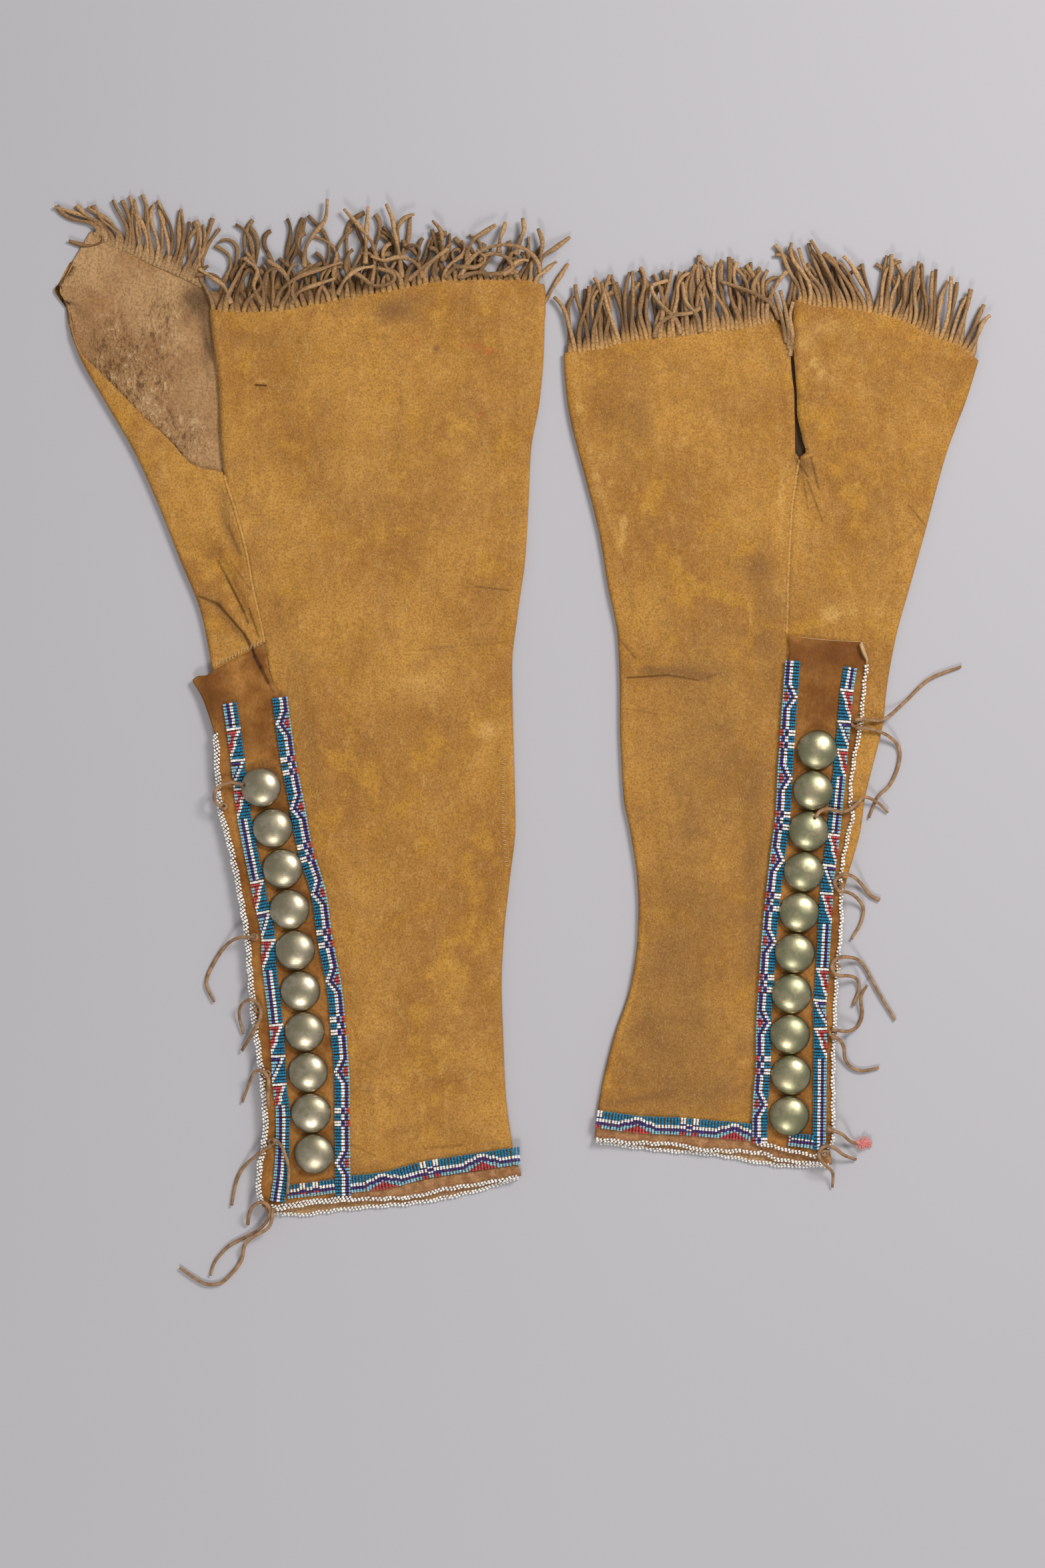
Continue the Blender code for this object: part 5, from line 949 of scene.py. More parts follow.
# Each lane's width, the way from its path to the side that its chart starts on, the chart, and the path's points.
LANES = {
    "left": {
        "outer": (8.6, -1, OUTER_LEFT, [
            (-176.5, 0), (-173.8, -18), (-171.6, -35), (-167.7, -68.5), (-159.9, -108.6), (-153.3, -140),
            (-152.7, -157), (-148, -198), (-146, -234), (-144.2, -247), (-144, -264), (-145, -286), (-147.4, -304),
        ]),
        "inner": (9.4, -1, INNER_LEFT, [
            (-146, 3.7), (-141.2, -32), (-136.1, -58.6), (-130.4, -89), (-122.4, -115), (-118.3, -144), (-113, -171),
            (-110.5, -195), (-108, -227.5), (-107.8, -258), (-107.3, -300.5),
        ]),
        "hem": (10.6, -1, HEM_LEFT, [
            (-102.2, -294.4), (-80.8, -291.9), (-56.6, -285.6), (-22, -280.2), (-3.4, -277.2), (0.6, -276.8),
        ]),
        "foot": (8.4, -1, FOOT_ROWS, [(-140.7, -298.9), (-127, -297.3), (-113, -295.4)]),
    },
    "right": {
        "outer": (8.0, 1, OUTER_RIGHT, [
            (204, 22), (201.7, 6.6), (198.7, -28), (193.3, -82), (191, -99), (189.4, -115.6), (186.3, -170),
            (184.9, -186.5), (185.5, -203), (184.9, -266), (185.2, -272),
        ]),
        "inner": (9.2, 1, INNER_RIGHT, [
            (168.7, 26), (167.1, 5), (164, -42), (162.6, -68), (159.3, -94), (156.2, -122), (154.2, -143.5),
            (152.6, -168.5), (150.9, -195), (150.6, -220), (148.7, -248), (148.5, -268.5),
        ]),
        "hem": (10.6, -1, HEM_RIGHT, [
            (48.8, -254.1), (74.6, -257.8), (98.8, -258.7), (128.7, -261.2), (142.6, -262.5),
        ]),
        "short": (8.2, 1, SHORT_ROWS, [(166.6, -266.6), (174, -267.4), (180.4, -268.2)]),
    },
}


# How far a lane's rows, and beads across and above the lane, stray from their places, and how long beads are for them.
ROW_STRAY, BEAD_STRAY, BEAD_RISE_STRAY, ROW_RISE_STRAY, BEAD_FULLNESS = 0.09, 0.05, 0.05, 0.06, 1.04
BEAD_SIDES, BEAD_STATIONS, BEAD_RINGS = 7, np.array([-0.5, 0, 0.5]), np.array([0.66, 1, 0.66])


def sew_beads(name, part_slot, nodes, middles, length, colours, dice, size_spread, tint_spread):
    """A piece of beads, from the middles of those on each row's thread. A bead is three rings round its thread, at its
    start, middle and end, of radius times 0.66, 1 and 0.66. The dice vary its size and the strength of its colour."""
    total = middles[..., 0].size
    thread = unit(np.gradient(middles, axis=1))
    up = unit(np.cross(np.cross(thread, (0.0, 0.0, 1.0)), thread))
    middles, thread, up = (v.reshape(-1, 1, 1, 3) for v in (middles, thread, up))
    turn = np.linspace(0, 2 * np.pi, BEAD_SIDES, endpoint=False)[:, None]
    ring = up * np.cos(turn) + np.cross(thread, up) * np.sin(turn)
    size = dice.normal(1, size_spread, total)
    radius = ((BEAD_RADIUS * size)[:, None] * BEAD_RINGS)[..., None, None]
    shift = ((length * size)[:, None] * BEAD_STATIONS)[..., None, None] * thread
    points = middles + shift + ring * radius
    tint = np.clip(colours * dice.normal(1, tint_spread, (total, 1)), 0, 1)
    tint = np.repeat(tint, points.shape[1] * points.shape[2], axis=0)
    new_piece(name, points, ring_faces(points.shape[:3], 1), [glass], part_slot, nodes, tint=tint)


glass = Finish("seed_beads", 0.22, Specular_IOR_Level=0.55)
bead_tint = glass.attribute("tint", "Color")
dust = glass.noise(9, 3.0, 0.6)
glass.colour(glass.cover(bead_tint, dust, 0.55, 0.85, 0.2, (0.35, 0.27, 0.18)))
glass.feed(glass.shader.inputs["Roughness"], glass.fade(dust, 0.4, 0.75, 0.2, 0.4))


def bead_lane(name, path, width, start_way, chart, surface, nodes):
    """Rows of beads across a path: bead j of a row stands (j - middle) bead lengths across it and on an arch that is
    highest at the middle. Rows, sizes and tints wander a little, by seeded dice."""
    dice = np.random.default_rng(len(name) + len(chart))
    fine = smooth_path(path, ROW_PITCH)
    rows = min(len(fine), len(chart))
    fine = fine[:rows]
    way = unit(np.gradient(fine, axis=0))
    way[2:-2] = (way[:-4] + way[1:-3] + way[2:-2] + way[3:-1] + way[4:]) / 5
    to_right = np.column_stack([way[:, 1], -way[:, 0]])
    lengthways = abs(way[0, 1]) > abs(way[0, 0])
    across = -start_way * to_right * (np.sign(to_right[:, :1]) if lengthways else -np.sign(to_right[:, 1:]))
    count = max(len(row) for row in chart)
    at = np.linspace(-1, 1, count)
    length = width / count
    middle = fine + way * dice.normal(0, ROW_STRAY, rows)[:, None]
    place = middle[:, None] + across[:, None] * (at * (width - length) / 2)[None, :, None]
    place += dice.normal(0, BEAD_STRAY, place.shape)
    z = surface(place[..., 0], place[..., 1]) + SEAT_GAP + BEAD_RADIUS + BEAD_ARCH * (1 - at**2)
    z += dice.normal(0, BEAD_RISE_STRAY, z.shape) + dice.normal(0, ROW_RISE_STRAY, rows)[:, None]
    middles = np.concatenate([place, z[..., None]], axis=-1)
    colours = np.array([BEAD_COLOURS[letter] for row in chart[:rows] for letter in row.ljust(count, row[-1])])
    sew_beads(name, "blue_beads", nodes, middles, BEAD_FULLNESS * length, colours, dice, 0.05, 0.12)


for side, lanes in LANES.items():
    leg = legs[side]
    for name, (width, start_way, chart, path) in lanes.items():
        if name == "hem":
            surface = lambda x, y, leg=leg: leg.front_z(x, y) + WALL / 2
        else:
            surface = leg.flap_z
        nodes = [] if name == "short" else [f"{side}_lane_{name}"]
        bead_lane(f"{side}_{name}_lane_beads", path, width, start_way, chart, surface, nodes)

# --- Edge beads
# White seed beads sewn over the cut edge of the flap's free side and foot and of the hem, two or three to a stitch and
# aslant to the edge. The outermost bead of a stitch stands a little way off the edge.
EDGE_BEAD_LENGTH = 1.15
EDGE_ROW_PITCH = 2.2
EDGE_SLANT = 0.55
# The last bead's place out from the edge and its drop, the gaps between beads, and how far they stray each way.
EDGE_OUT, EDGE_DROP, EDGE_GAP_SHARE, EDGE_STRAY = 0.7, -0.6, 1.05, (0.14, 0.12, 0.08)
# The row's slow waving in and out: how far, its turn for each stitch, and the wave in that turn.
EDGE_WAVE, EDGE_TURN, EDGE_TURN_WAVE = 0.3, 0.9, (0.7, 0.37)
# Where the flap's edging starts, its corner, beads to a stitch, and where along the foot it goes on and ends.
EDGES = {"left": (-19.0, (-156.5, -306.2), 3, 7, -102.0), "right": (23.5, (189.9, -273.3), 2, -7, 147.0)}
TIE_GAP_PLACE, TIE_GAP_RADIUS = (-153.5, -308.0), 3.4


def edge_beads(name, path, count, nodes):
    """Stitches along an edge whose points are given with the leather on their left. Bead j of a stitch lies j bead
    lengths out, shifted along the edge by the slant times that, and the last one drops halfway round the edge."""
    dice = np.random.default_rng(len(name))
    fine = smooth_path(path, EDGE_ROW_PITCH)
    way = unit(np.gradient(fine[:, :2], axis=0))
    outward = np.column_stack([way[:, 1], -way[:, 0]])
    apart = np.hypot(fine[:, 0] - TIE_GAP_PLACE[0], fine[:, 1] - TIE_GAP_PLACE[1]) > TIE_GAP_RADIUS
    fine, way, outward = fine[apart], way[apart], outward[apart]
    rows = len(fine)
    stitch, bead = np.arange(rows), np.arange(count) - count + 1
    out = EDGE_OUT + EDGE_GAP_SHARE * EDGE_BEAD_LENGTH * bead + dice.normal(0, EDGE_STRAY[0], (rows, count))
    turn = EDGE_TURN * stitch + EDGE_TURN_WAVE[0] * np.sin(EDGE_TURN_WAVE[1] * stitch)
    out += EDGE_WAVE * np.sin(turn)[:, None]
    place = fine[:, None, :2] + outward[:, None] * out[..., None] + way[:, None] * (EDGE_SLANT * out)[..., None]
    place += way[:, None] * dice.normal(0, EDGE_STRAY[1], (rows, count, 1))
    drop = np.where(bead == 0, EDGE_DROP, 0.0)
    z = fine[:, None, 2] + SEAT_GAP + BEAD_RADIUS + drop + dice.normal(0, EDGE_STRAY[2], (rows, count))
    middles = np.concatenate([place, z[..., None]], axis=-1)
    colours = np.array(BEAD_COLOURS["W"])
    sew_beads(name, "white_beads", nodes, middles, EDGE_BEAD_LENGTH, colours, dice, 0.06, 0.08)


HEM_END_GAP, HEM_HEIGHT_AT, BACK_BEAD_LEVEL = 3.0, -290, 0.6
# How far above its corner a flap's edging leaves the side, and how far out it takes the corner.
CORNER_START, CORNER_OUT = 8, 0.6
for side, leg in legs.items():
    start, (corner_x, corner_y), count, turn_in, foot_end = EDGES[side]
    y = np.linspace(start, corner_y + CORNER_START, 60)
    x = np.linspace(corner_x + turn_in, foot_end, 16)
    free = leg.flap_left if side == "left" else leg.flap_right
    down_side, foot = np.column_stack([free(y), y]), np.column_stack([x, leg.flap_foot(x)])
    path = np.concatenate([down_side, [(corner_x - CORNER_OUT, corner_y - CORNER_OUT)], foot])
    if side == "right":
        path = path[::-1]
    path = np.column_stack([path, leg.flap_z(path[:, 0], path[:, 1])])
    edge_beads(f"{side}_edge_white_beads", path, count, [f"{side}_edge_beads"])
    x = np.linspace(leg.left(HEM_HEIGHT_AT) + HEM_END_GAP, leg.right(HEM_HEIGHT_AT) - HEM_END_GAP, 40)
    for layer, y in (("front", leg.hem_foot_front(x)), ("back", leg.hem_foot_back(x))):
        heights = leg.front_z(x, y) + WALL / 2 if layer == "front" else np.full(40, BACK_BEAD_LEVEL)
        node = [f"{side}_hem_beads"] if layer == "front" else []
        edge_beads(f"{side}_hem_white_beads_{layer}", np.column_stack([x, y, heights]), 2, node)

# --- Domed buttons
# Ten thin domes of brass with a silvery wash, gone dull and green in places, stand in a row between the two lanes of
# each flap. Each is sewn on by a shank under it, and its rim stands clear of the beads.
DOME_RADIUS = 12.4
DOME_RIM_HEIGHT = 1.9
DOME_HEIGHT = 8.2
DOME_SHANK_RADIUS = 5.5
DOME_DENT = 0.05
DOME_RIM_INSET, DOME_RIM_DROP = 1.2, 0.6


def dome_shell(place, seed):
    """A dome turned about its own axis: from its rim up, radius R sin(t) and height rim + (H - rim) cos(t). Below the
    rim it narrows to the shank. A slow wave dents it."""
    t = np.linspace(np.pi / 2, 0.03, 14)
    radius = np.concatenate([[0.2, DOME_SHANK_RADIUS, DOME_RADIUS - DOME_RIM_INSET], DOME_RADIUS * np.sin(t)])
    crown = DOME_RIM_HEIGHT + (DOME_HEIGHT - DOME_RIM_HEIGHT) * np.cos(t)
    height = np.concatenate([[0, 0, DOME_RIM_HEIGHT - DOME_RIM_DROP], crown])
    turn = np.linspace(0, 2 * np.pi, 40, endpoint=False)
    dent = DOME_DENT * np.sin(3 * turn + seed) * np.sin(2 * height[:, None] / DOME_HEIGHT * np.pi + seed)
    x = radius[:, None] * np.cos(turn)
    y = radius[:, None] * np.sin(turn)
    z = height[:, None] + dent * (radius[:, None] > 1) * (height[:, None] > DOME_RIM_HEIGHT)
    points = np.stack([x, y, z], axis=-1)[None] + place
    return points, ring_faces(points.shape[:3], 1)


def dome_metal(name, light, dark, green, green_share):
    """Dulled metal, darker in patches and with a share of green tarnish in some of them."""
    metal = Finish(name, 0.45, 1.0)
    stain = metal.noise(9, 4.0, 0.6)
    speck = metal.noise(1.6, 4.0, 0.7)
    tone = metal.blend(stain, 0.3, 0.7, dark, light)
    metal.colour(metal.cover(tone, stain + 0.5 * speck, 0.85, 0.7, green_share, green))
    metal.feed(metal.shader.inputs["Roughness"], metal.fade(stain, 0.3, 0.7, 0.42, 0.34))
    metal.relief(speck, 0.02)
    return metal


dome_finishes = {
    "left": dome_metal("dome_metal_left", (0.5, 0.43, 0.31), (0.37, 0.31, 0.2), (0.24, 0.22, 0.13), 0.4),
    "right": dome_metal("dome_metal_right", (0.47, 0.405, 0.25), (0.37, 0.315, 0.19), (0.2, 0.23, 0.125), 0.5),
}
for side, finish in dome_finishes.items():
    for i in range(10):
        node = f"{side}_dome_{i + 1:02d}"
        low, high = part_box(node)
        place = np.array([(low[0] + high[0]) / 2, (low[1] + high[1]) / 2, low[2]]) / MM
        points, faces = dome_shell(place, i + len(side))
        new_piece(node + "_metal", points, faces, [finish], "domes", [node])

# --- Fringes
# The hide's thigh edge is cut into narrow strips, each twisted while damp so that it dried as a round, curling cord.
# Runs stand on the front, on the back under it, and on the corner or the wrap that shows.
STRAND_WIDTHS = {"left": 3.7, "right": 3.4}
STRAND_THICKNESSES = {"left": 2.2, "right": 2.6}
STRAND_STATIONS, STRAND_SIDES = 26, 8
SWAY_LENGTH = 107
# For a curl of 1: how much longer than its reach a strand may be, how far its aim, hook and waves turn it.
LONGER, AIM, HOOK, SWING = 0.12, 0.1, 0.8, 0.42
SHORTEST, WAVES, SWINGS, WIDTHS, TWISTS = 0.9, (0.4, 1.2), (0.2, 1.2), (0.85, 1.15), (2.0, 6.0)
# How fast a strand turns to its aim and starts to swing, and how far to each side the edge's slope is read.
AIM_RATE, SWING_RATE, SLOPE_REACH = 2.6, 4, 1.5
# Where along a strand its hook starts, its root and the root's colour end, it has climbed, and its twist starts.
HOOK_START, ROOT_END, ROOT_TINT_END, CLIMB_END, TWIST_START = 0.65, 0.14, 0.2, 0.3, 0.08
ROOT_OVERLAP, ROOT_SINK, ROOT_THICKNESS, STRAND_TAPER = 1.05, 1.2, 1.3, 0.2
STRAND_LEVEL, LOW_STRAND_LEVEL, LAYER_RISE, TIP_DROOP, LOWEST_STRAND = 3.2, 1.1, 1.9, 0.3, 1.6
STRAND_DARK, STRAND_PALE = (0.26, 0.138, 0.058), (0.54, 0.315, 0.145)
# A strand's colour at its root, on the painted side and on the flesh side.
ROOT_TINT = [(0.62, 0.33, 0.1), (0.5, 0.3, 0.135)]
# Painted shade on lower strands: how much of its colour a strand keeps in the back run, in the corner, and in the
# lowest front layer, with a step for each layer above it.
BACK_PAINTED_SHADE, CORNER_PAINTED_SHADE, FRONT_PAINTED_SHADES = 0.66, 1.0, {"left": (0.7, 0.15), "right": (0.92, 0.09)}
# Side, run, edge, number, spread, curl, and for places along the edge the reach of a strand, across and up.
FRINGES = [
    ("left", "front", "top_right", 54, 4.8, 1.6, [
        (-189, -5, 33), (-172, 2, 35), (-150, 6, 34), (-128, 8, 30), (-103, 6, 28), (-76, -4, 31), (-51, 3, 26),
        (-25, -4, 20), (0, 4, 18), (13, 9, 16),
    ]),
    ("left", "back", "top_back", 34, 5.5, 1.3, [
        (-184, -6, 38), (-150, 3, 42), (-100, -2, 44), (-50, 2, 34), (8, 6, 27),
    ]),
    ("left", "corner", "top_back", 29, 3.0, 0.8, [
        (-261, -36, -10), (-257.5, -33, 8), (-253, -24, 20), (-248, -14, 26), (-238, -6, 34), (-225, -5, 40),
        (-211, 3, 38), (-194, 5, 42),
    ]),
    ("right", "front", "top_left", 46, 2.1, 0.75, [
        (31, 1, 39), (45, 4, 45), (62, -2, 42), (88, 2, 43), (104, 3, 44), (120, -3, 46), (138, -2, 43),
        (158, -4, 34),
    ]),
    ("right", "back", "top_back", 40, 2.5, 0.8, [
        (36, 3, 38), (90, -4, 41), (165, 3, 38), (215, -6, 36), (245, 4, 34),
    ]),
    ("right", "wrap", "top_right", 37, 1.6, 0.55, [
        (172, -16, 37), (185, -23, 38), (200, -23, 37), (212, -21, 33), (216, -19, 31), (219, 7, 36), (238, 4, 36),
        (249, 0, 42), (262, 3, 38), (270, 8, 33), (280, 7, 26),
    ]),
]
cord_hide = Finish("fringe_hide", 0.85, Specular_IOR_Level=0.25)
own_tint = cord_hide.attribute("tint", "Color")
ridges = cord_hide.noise(1.3, 3.0, 0.6)
cord_hide.colour(cord_hide.cover(own_tint, ridges, 0.62, 0.3, 0.6, (0.1, 0.048, 0.018)))
cord_hide.relief(ridges, 0.3)


def strand_tint(shade, at_root=0.0, root_colour=(0, 0, 0), painted_depth_shade=1.0):
    """Colours round the stations of strands: from dark to pale by the shade, the root's colour by the share of it, all
    times painted shade for how deep the strand lies, and painted shade along a hollow on one side, by half of cos² of
    the angle to it."""
    colour = np.array(STRAND_DARK) * (1 - shade) + np.array(STRAND_PALE) * shade
    colour = (colour * (1 - at_root) + np.array(root_colour) * at_root) * painted_depth_shade
    angle = np.linspace(0, 2 * np.pi, STRAND_SIDES, endpoint=False)[:, None]
    return colour * (1 - 0.5 * np.maximum(0, np.cos(angle)) ** 2)


for side, name, edge_name, count, spread, curl, roots in FRINGES:
    leg, edge = legs[side], getattr(legs[side], edge_name)
    lowest = name in ("back", "corner")
    dice = np.random.default_rng(count + len(roots))
    fine = np.linspace(roots[0][0], roots[-1][0], 400)
    along = distances(np.column_stack([fine, edge(fine)]))
    x = np.interp(along[-1] * (np.arange(count) + 0.5) / count, along, fine)
    root = np.column_stack([x, edge(x)])
    slope = unit(np.column_stack([np.ones(count), (edge(x + SLOPE_REACH) - edge(x - SLOPE_REACH)) / (2 * SLOPE_REACH)]))
    up = np.column_stack([-slope[:, 1], slope[:, 0]])
    reach = np.column_stack([tip(x) for tip in curves(roots)])
    layer = np.zeros(count) if lowest else np.arange(count) % 3
    reach[:, 0] += spread * np.sin(2 * np.pi * (x / SWAY_LENGTH + layer / 3)) + dice.normal(0, spread, count)
    length = np.linalg.norm(reach, axis=1, keepdims=True) * dice.uniform(SHORTEST, 1.0 + LONGER * curl, (count, 1))
    # A strand leaves square to the edge, turns to its aim, swings as a sine and hooks near its tip. It is the running
    # sum of equal steps that way, climbs from the edge to its layer's level, and droops again towards its tip.
    t = np.linspace(0, 1, STRAND_STATIONS)[None]
    first = np.arctan2(up[:, 1], up[:, 0])[:, None]
    aim = np.arctan2(reach[:, 1], reach[:, 0])[:, None] + dice.normal(0, AIM * curl, (count, 1))
    hook = dice.normal(0, HOOK * curl, (count, 1)) * np.clip((t - HOOK_START) / (1 - HOOK_START), 0, 1)
    waves, phase = dice.uniform(*WAVES, (count, 1)), dice.uniform(0, 2 * np.pi, (count, 1))
    swing = SWING * curl * dice.uniform(*SWINGS, (count, 1)) * np.sin(2 * np.pi * waves * t + phase)
    heading = first + (aim - first) * np.minimum(1, AIM_RATE * t) + swing * np.minimum(1, SWING_RATE * t) + hook
    step = np.stack([np.cos(heading), np.sin(heading)], axis=-1) * (length / (STRAND_STATIONS - 1))[..., None]
    path = (root - up * ROOT_SINK)[:, None] + np.cumsum(step, axis=1) - step[:, :1]
    base_z = np.full(count, WALL / 2) if lowest else leg.front_z(root[:, 0], root[:, 1])
    climb = np.clip(t / CLIMB_END, 0, 1)
    rise = climb**2 * (3 - 2 * climb)
    level = (LOW_STRAND_LEVEL if lowest else STRAND_LEVEL) + LAYER_RISE * layer[:, None]
    z = np.maximum(base_z[:, None] * (1 - rise) + rise * level * (1 - TIP_DROOP * t**2), LOWEST_STRAND)
    paths = np.concatenate([path, z[..., None]], axis=-1)
    root_share = np.clip(1 - t / ROOT_END, 0, 1) ** 2
    taper = 1 - STRAND_TAPER * t
    root_width, wide, thick = along[-1] / count * ROOT_OVERLAP, STRAND_WIDTHS[side], STRAND_THICKNESSES[side]
    width = (wide + (root_width - wide) * root_share) * taper * dice.uniform(*WIDTHS, (count, 1))
    thickness = (thick + (ROOT_THICKNESS - thick) * root_share) * taper
    way_round = dice.uniform(*TWISTS, (count, 1)) * dice.choice([-1, 1], (count, 1))
    points, faces = tubes(paths, width, thickness, way_round * np.maximum(t - TWIST_START, 0), STRAND_SIDES)
    # Lower strands get painted shade, and the root keeps the colour of the hide.
    shade = dice.uniform(0, 1, (count, 1, 1, 1))
    dim, step_up = FRONT_PAINTED_SHADES[side]
    front_painted_shade = dim + step_up * layer[:, None, None, None]
    painted_depth_shade = {"back": BACK_PAINTED_SHADE, "corner": CORNER_PAINTED_SHADE}.get(name, front_painted_shade)
    at_root = np.clip(1 - t[..., None, None] / ROOT_TINT_END, 0, 1)
    tint = strand_tint(shade, at_root, ROOT_TINT[name == "corner"], painted_depth_shade).reshape(-1, 3)
    nodes = [f"{side}_fringe_{name}"]
    new_piece(f"{side}_fringe_{name}_strands", points, faces, [cord_hide], "fringe", nodes, tint=tint)

# --- Loose strands
# A few of the same strips have dropped across their neighbours or stand apart at the ends of a run. Each row is one
# strip's route from its root, X, Y and Z.
LOOSE_STRANDS = {
    "left": [
        [(-103, 266.6, 5), (-96.4, 262.4, 8), (-87.7, 256.5, 8.5), (-77, 258.8, 8.5), (-76.5, 264, 8.5),
         (-86, 267.5, 8)],
        [(-67, 260.5, 5), (-58, 268, 8), (-50, 274, 8), (-42.8, 279.6, 7)],
        [(-35.9, 261.5, 5), (-31, 270, 8), (-24, 277, 8.5), (-14, 281, 8.5), (-3, 281.3, 8.5), (7, 277.5, 8),
         (13, 270, 7.5), (14, 262, 6)],
        [(-23.8, 271, 6), (-18, 276, 8), (-8, 274.5, 8.5), (-3.1, 268, 8.5), (-9, 263, 8)],
        [(-35, 262, 6), (-26, 264.6, 8), (-14, 264, 8), (0.4, 265.5, 7)],
        [(-30.8, 268, 6), (-31, 277, 8), (-27, 285, 8), (-20, 290, 7), (-13.5, 294.2, 6)],
        [(-11.7, 277, 6), (-11, 285, 7), (-9, 291, 6), (-7.4, 296, 5)],
        [(-1.5, 276, 6), (1, 284, 7), (3.8, 291, 6), (3, 298.5, 5)],
        [(13, 264, 5), (14, 275, 7), (15, 284, 6), (12.5, 292, 5)],
        [(12, 264, 5), (15, 274.3, 5), (24, 281, 4), (32, 287.3, 1.9)],
        [(14, 246, 3.6), (17.5, 249, 2.4), (22, 257, 1.7), (31, 271, 1.7)],
        [(-71, 262, 5), (-72.6, 275, 8), (-75, 287, 7.5), (-77, 298, 6), (-80.8, 307, 5)],
        [(-74, 284, 6), (-73.6, 292, 7), (-70, 298, 6), (-63.6, 301, 5)],
        [(-46, 272, 6), (-46.3, 282, 7), (-47.5, 291, 6), (-52.3, 296.8, 5)],
        [(-86, 272, 6), (-90, 284, 7), (-97, 293, 6), (-106.7, 304, 5)],
        [(-93.5, 270, 6), (-93, 284, 7), (-92.6, 295, 6), (-92, 305.5, 5)],
        [(-131, 268, 6), (-130, 280, 7), (-124, 290, 6), (-118, 298, 6), (-117, 310, 5)],
        [(-148.4, 244.5, 5), (-145, 254, 7.5), (-134.3, 262, 8.5), (-121.4, 266.6, 8.5), (-108, 271, 7.5)],
        [(-138.6, 246.5, 5), (-134, 253, 8), (-121.4, 258, 8.5), (-112, 261, 7.5)],
        [(-110.7, 251.5, 5), (-106.2, 260, 8), (-98, 266.6, 8.5), (-88, 268.5, 7.5)],
        [(-58, 262, 5), (-62, 270, 8), (-72, 274, 8.5), (-82, 272, 8.5), (-90, 275, 7.5)],
        [(-45, 262, 5), (-38, 268, 8), (-26, 268, 8.5), (-20, 273, 8), (-25, 279, 7)],
        [(-157, 246, 5), (-162, 256, 7.5), (-160, 266, 8), (-168, 274, 7)],
        [(-176, 246, 5), (-180, 256, 7), (-188, 262, 6), (-196, 268, 3)],
    ],
    "right": [
        [(161, 236.5, 5), (155, 246, 7.5), (146, 251.5, 8), (134, 256, 8), (125, 259, 7)],
        [(84, 225.5, 5), (86, 232, 7.5), (94, 238, 8), (106, 240, 8), (112, 243, 7)],
        [(100, 227.5, 5), (97, 236, 7.5), (87, 246, 8), (82, 256, 7), (92, 260, 6.5)],
        [(112, 228.5, 5), (110, 238, 7.5), (103, 247, 8), (101, 259, 6)],
        [(165, 222, 4), (163, 232, 6), (160, 244, 7), (156, 256, 6)],
        [(166.5, 218, 4), (166, 230, 6), (164, 243, 6.5), (161, 254, 6)],
        [(167, 214, 4), (168.5, 226, 5), (167, 238, 6), (169, 247, 6)],
    ],
}
# Their turns from the first strip to the last, their tapers across and up, and their shades.
LOOSE_TURNS, LOOSE_TAPERS, LOOSE_SHADES = (3, 6), (0.25, 0.2), (0.45, 0.55, 2.4)
for side, routes in LOOSE_STRANDS.items():
    paths = []
    for route in routes:
        path = smooth_path(route, 1.0)
        at = np.linspace(0, len(path) - 1, STRAND_STATIONS)
        paths.append(np.stack([np.interp(at, np.arange(len(path)), path[:, k]) for k in range(3)], axis=1))
    t = np.linspace(0, 1, STRAND_STATIONS)[None]
    turn = np.linspace(*LOOSE_TURNS, len(paths))[:, None] * t
    width = STRAND_WIDTHS[side] * (1 - LOOSE_TAPERS[0] * t)
    thickness = STRAND_THICKNESSES[side] * (1 - LOOSE_TAPERS[1] * t)
    points, faces = tubes(paths, width, thickness, turn, STRAND_SIDES)
    least, more, by = LOOSE_SHADES
    tint = strand_tint(least + more * np.sin(by * np.arange(len(paths)))[:, None, None, None] ** 2)
    tint = np.broadcast_to(tint, points.shape).reshape(-1, 3)
    new_piece(f"{side}_loose_strands", points, faces, [cord_hide], "fringe", tint=tint)

# --- Stitches, knots and a tuft
# Sinew whip stitches hold the wrap's end over the left flap, mend the left leg's side fold and close the right seam.
# Each tie is held by a flat knot where it leaves the flap or hem, and one ends in a tuft of pink wool yarn.
STITCH_THICKNESS, STITCH_RISE, STITCH_DIP = 0.55, 0.35, 0.7
# Route, the gap between stitches, a stitch's length, and its slant to the route.
STITCHES = {
    "left": [
        ([(-185, 24.4), (-177, 28.4), (-168, 33.4), (-156, 38.6)], 2.1, 3.4, 1.1),
        ([(-8.5, -31), (-9.5, -50), (-9, -75), (-7, -99)], 2.6, 2.6, 1.4),
    ],
    "right": [([(171, 140), (169, 122), (166.6, 96), (165.6, 60)], 6.5, 2.2, 1.4)],
}
sinew = Finish("sinew", 0.7)
sinew.colour(sinew.mix(sinew.noise(2, 2.0), (0.42, 0.24, 0.1), (0.66, 0.46, 0.25)))
for side, rows in STITCHES.items():
    leg = legs[side]
    paths = []
    for route, gap, length, slant in rows:
        middle = smooth_path(route, gap)
        way = unit(np.gradient(middle, axis=0))
        turn = np.array([[math.cos(slant), -math.sin(slant)], [math.sin(slant), math.cos(slant)]])
        t = np.linspace(-1, 1, 5)[None, :, None]
        place = middle[:, None] + (way @ turn.T)[:, None] * t * length / 2
        over = leg.front_z(place[..., 0], place[..., 1]) + WALL / 2 + STITCH_RISE - STITCH_DIP * t[..., 0] ** 4
        paths.append(np.concatenate([place, over[..., None]], axis=-1))
    points, faces = tubes(np.concatenate(paths), STITCH_THICKNESS, STITCH_THICKNESS, 0, sides=5)
    new_piece(f"{side}_sinew_stitches", points, faces, [sinew], "thongs")

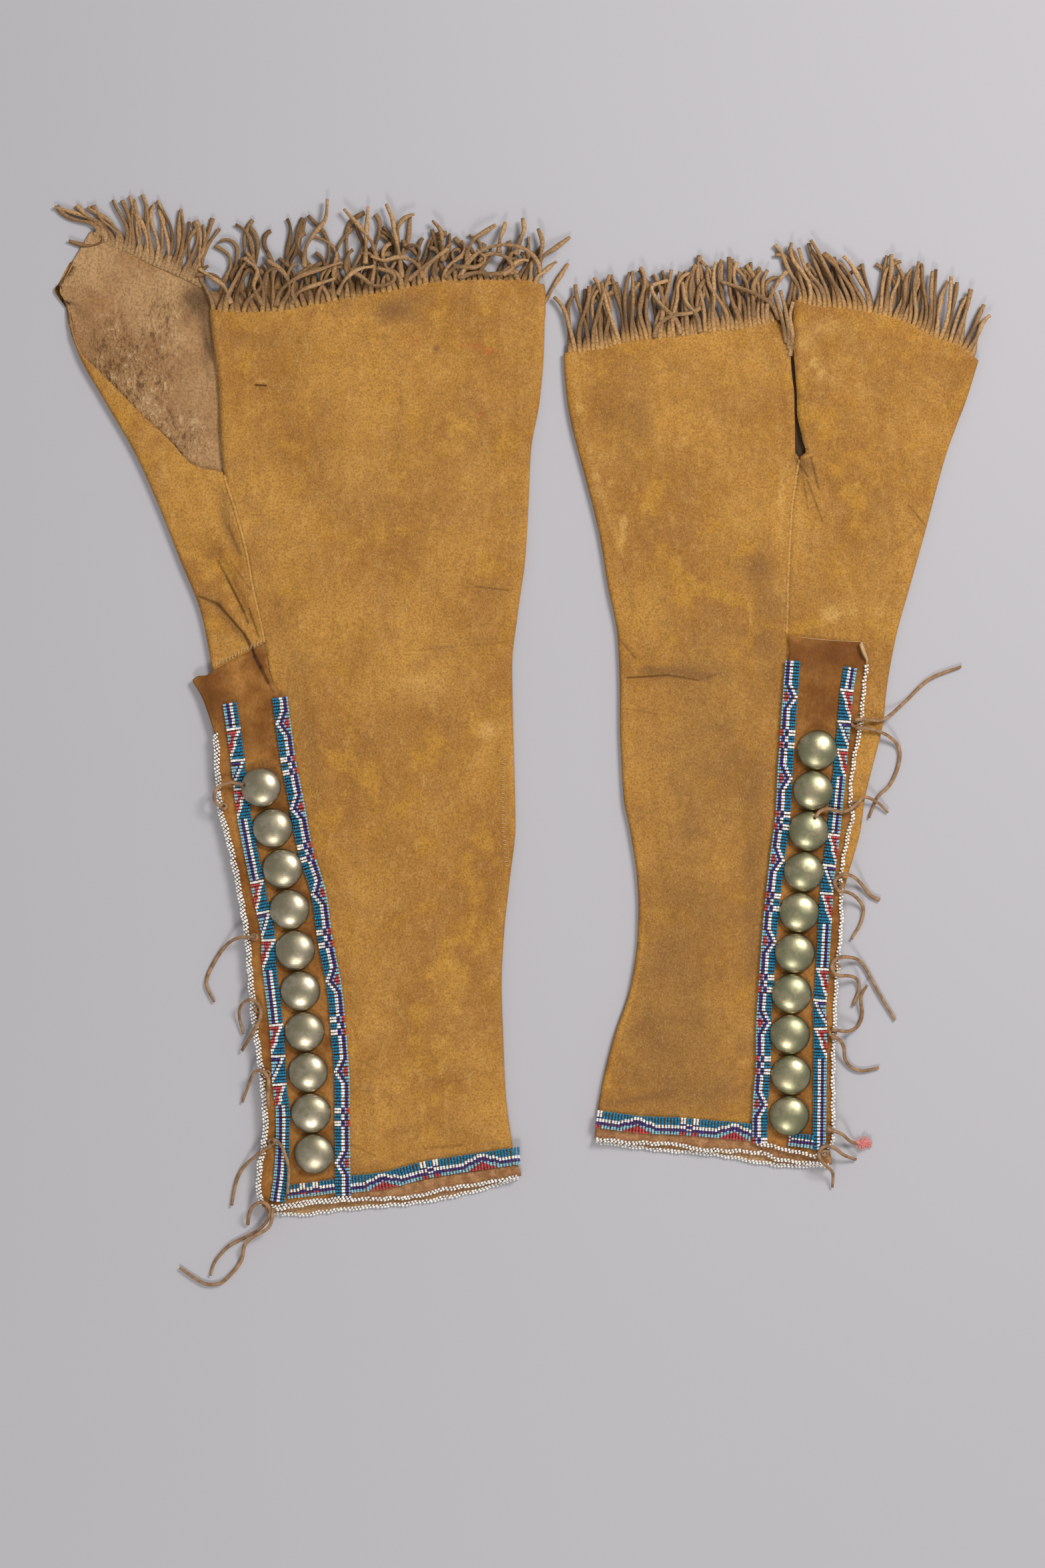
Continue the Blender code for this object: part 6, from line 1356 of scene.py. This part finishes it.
# A knot is a flat ring wound one and a half times round its tie, its height a sine of the turn. Where each one sits:
THONG_KNOTS = {
    "left": [(-180.5, -62.5), (-161.5, -142.5), (-158.8, -187), (-153.6, -226.5), (-150.8, -268), (-152.5, -309)],
    "right": [(207, -12), (207, -61), (197, -111.5), (195.3, -160.8), (193, -201.3), (190.3, -260.3), (188.2, -275)],
}
KNOT_RADIUS, KNOT_SWELL, KNOT_RISE, KNOT_SEAT = 1.5, 1.2, 0.8, 1.9
KNOT_WIDTH, KNOT_THICKNESS, KNOT_TURN = 1.9, 1.4, 0.4
# A knot below this height is on the hem, and any other on a flap.
HEM_KNOTS_BELOW = -300
for side, places in THONG_KNOTS.items():
    leg = legs[side]
    dice = np.random.default_rng(len(places))
    turn = np.linspace(0, 3 * np.pi, 24)
    paths = []
    for x, y in places:
        angle = turn + dice.uniform(0, 6)
        ring = [np.cos(angle) * KNOT_RADIUS * KNOT_SWELL, np.sin(angle) * KNOT_RADIUS, KNOT_RISE * np.sin(turn)]
        top = leg.front_z(x, y) + WALL / 2 + (SEAT_GAP + FLAP_THICKNESS if y > HEM_KNOTS_BELOW else 0)
        paths.append(np.stack(ring, axis=1) + (x, y, float(top) + KNOT_SEAT))
    points, faces = tubes(paths, KNOT_WIDTH, KNOT_THICKNESS, KNOT_TURN, sides=8)
    new_piece(f"{side}_tie_knots", points, faces, [thong_finish], "thongs")

# The tuft: strands of yarn tied round the end of the tie, one after the other along it. Each leaves it at an angle a:
# x = s cos(a), y = s sin(a), with a slow wave.
TUFT_PLACE, TUFT_REACH, TUFT_LENGTH, TUFT_STRANDS, TUFT_DROOP = (207.5, -268.9, 2.9), 6.5, 5.5, 70, 0.12
YARN_WIDTH, YARN_THICKNESS, YARN_LOWEST = 0.6, 0.5, 0.35
# A yarn's angle and stray, the least and most of its length as shares, how far it strays up or down, and its wave.
TUFT_ANGLES, TUFT_SHARES, TUFT_RISE, TUFT_WAVE, TUFT_WAVES = (-0.05, 0.55), (0.5, 1), 0.25, 0.5, 0.5
yarn = Finish("pink_yarn", 0.95, Specular_IOR_Level=0.1)
yarn.colour(yarn.mix(yarn.noise(1.5, 3.0), (0.62, 0.16, 0.14), (0.85, 0.36, 0.32)))
dice = np.random.default_rng(7)
angle = dice.normal(*TUFT_ANGLES, (TUFT_STRANDS, 1))
size = TUFT_LENGTH * dice.uniform(*TUFT_SHARES, (TUFT_STRANDS, 1))
s = size * np.linspace(0, 1, 10)
angle = angle + TUFT_WAVE * np.sin(s * TUFT_WAVES + dice.uniform(0, 6, (TUFT_STRANDS, 1)))
first_x = TUFT_PLACE[0] + TUFT_REACH * dice.uniform(0, 1, (TUFT_STRANDS, 1))
height = TUFT_PLACE[2] + dice.normal(0, TUFT_RISE, (TUFT_STRANDS, 1)) * s - TUFT_DROOP * s
height = np.maximum(height, YARN_LOWEST)
paths = np.stack([first_x + s * np.cos(angle), TUFT_PLACE[1] + s * np.sin(angle), height], axis=-1)
points, faces = tubes(paths, YARN_WIDTH, YARN_THICKNESS, 0, sides=5)
new_piece("right_yarn_tuft", points, faces, [yarn], "thongs")
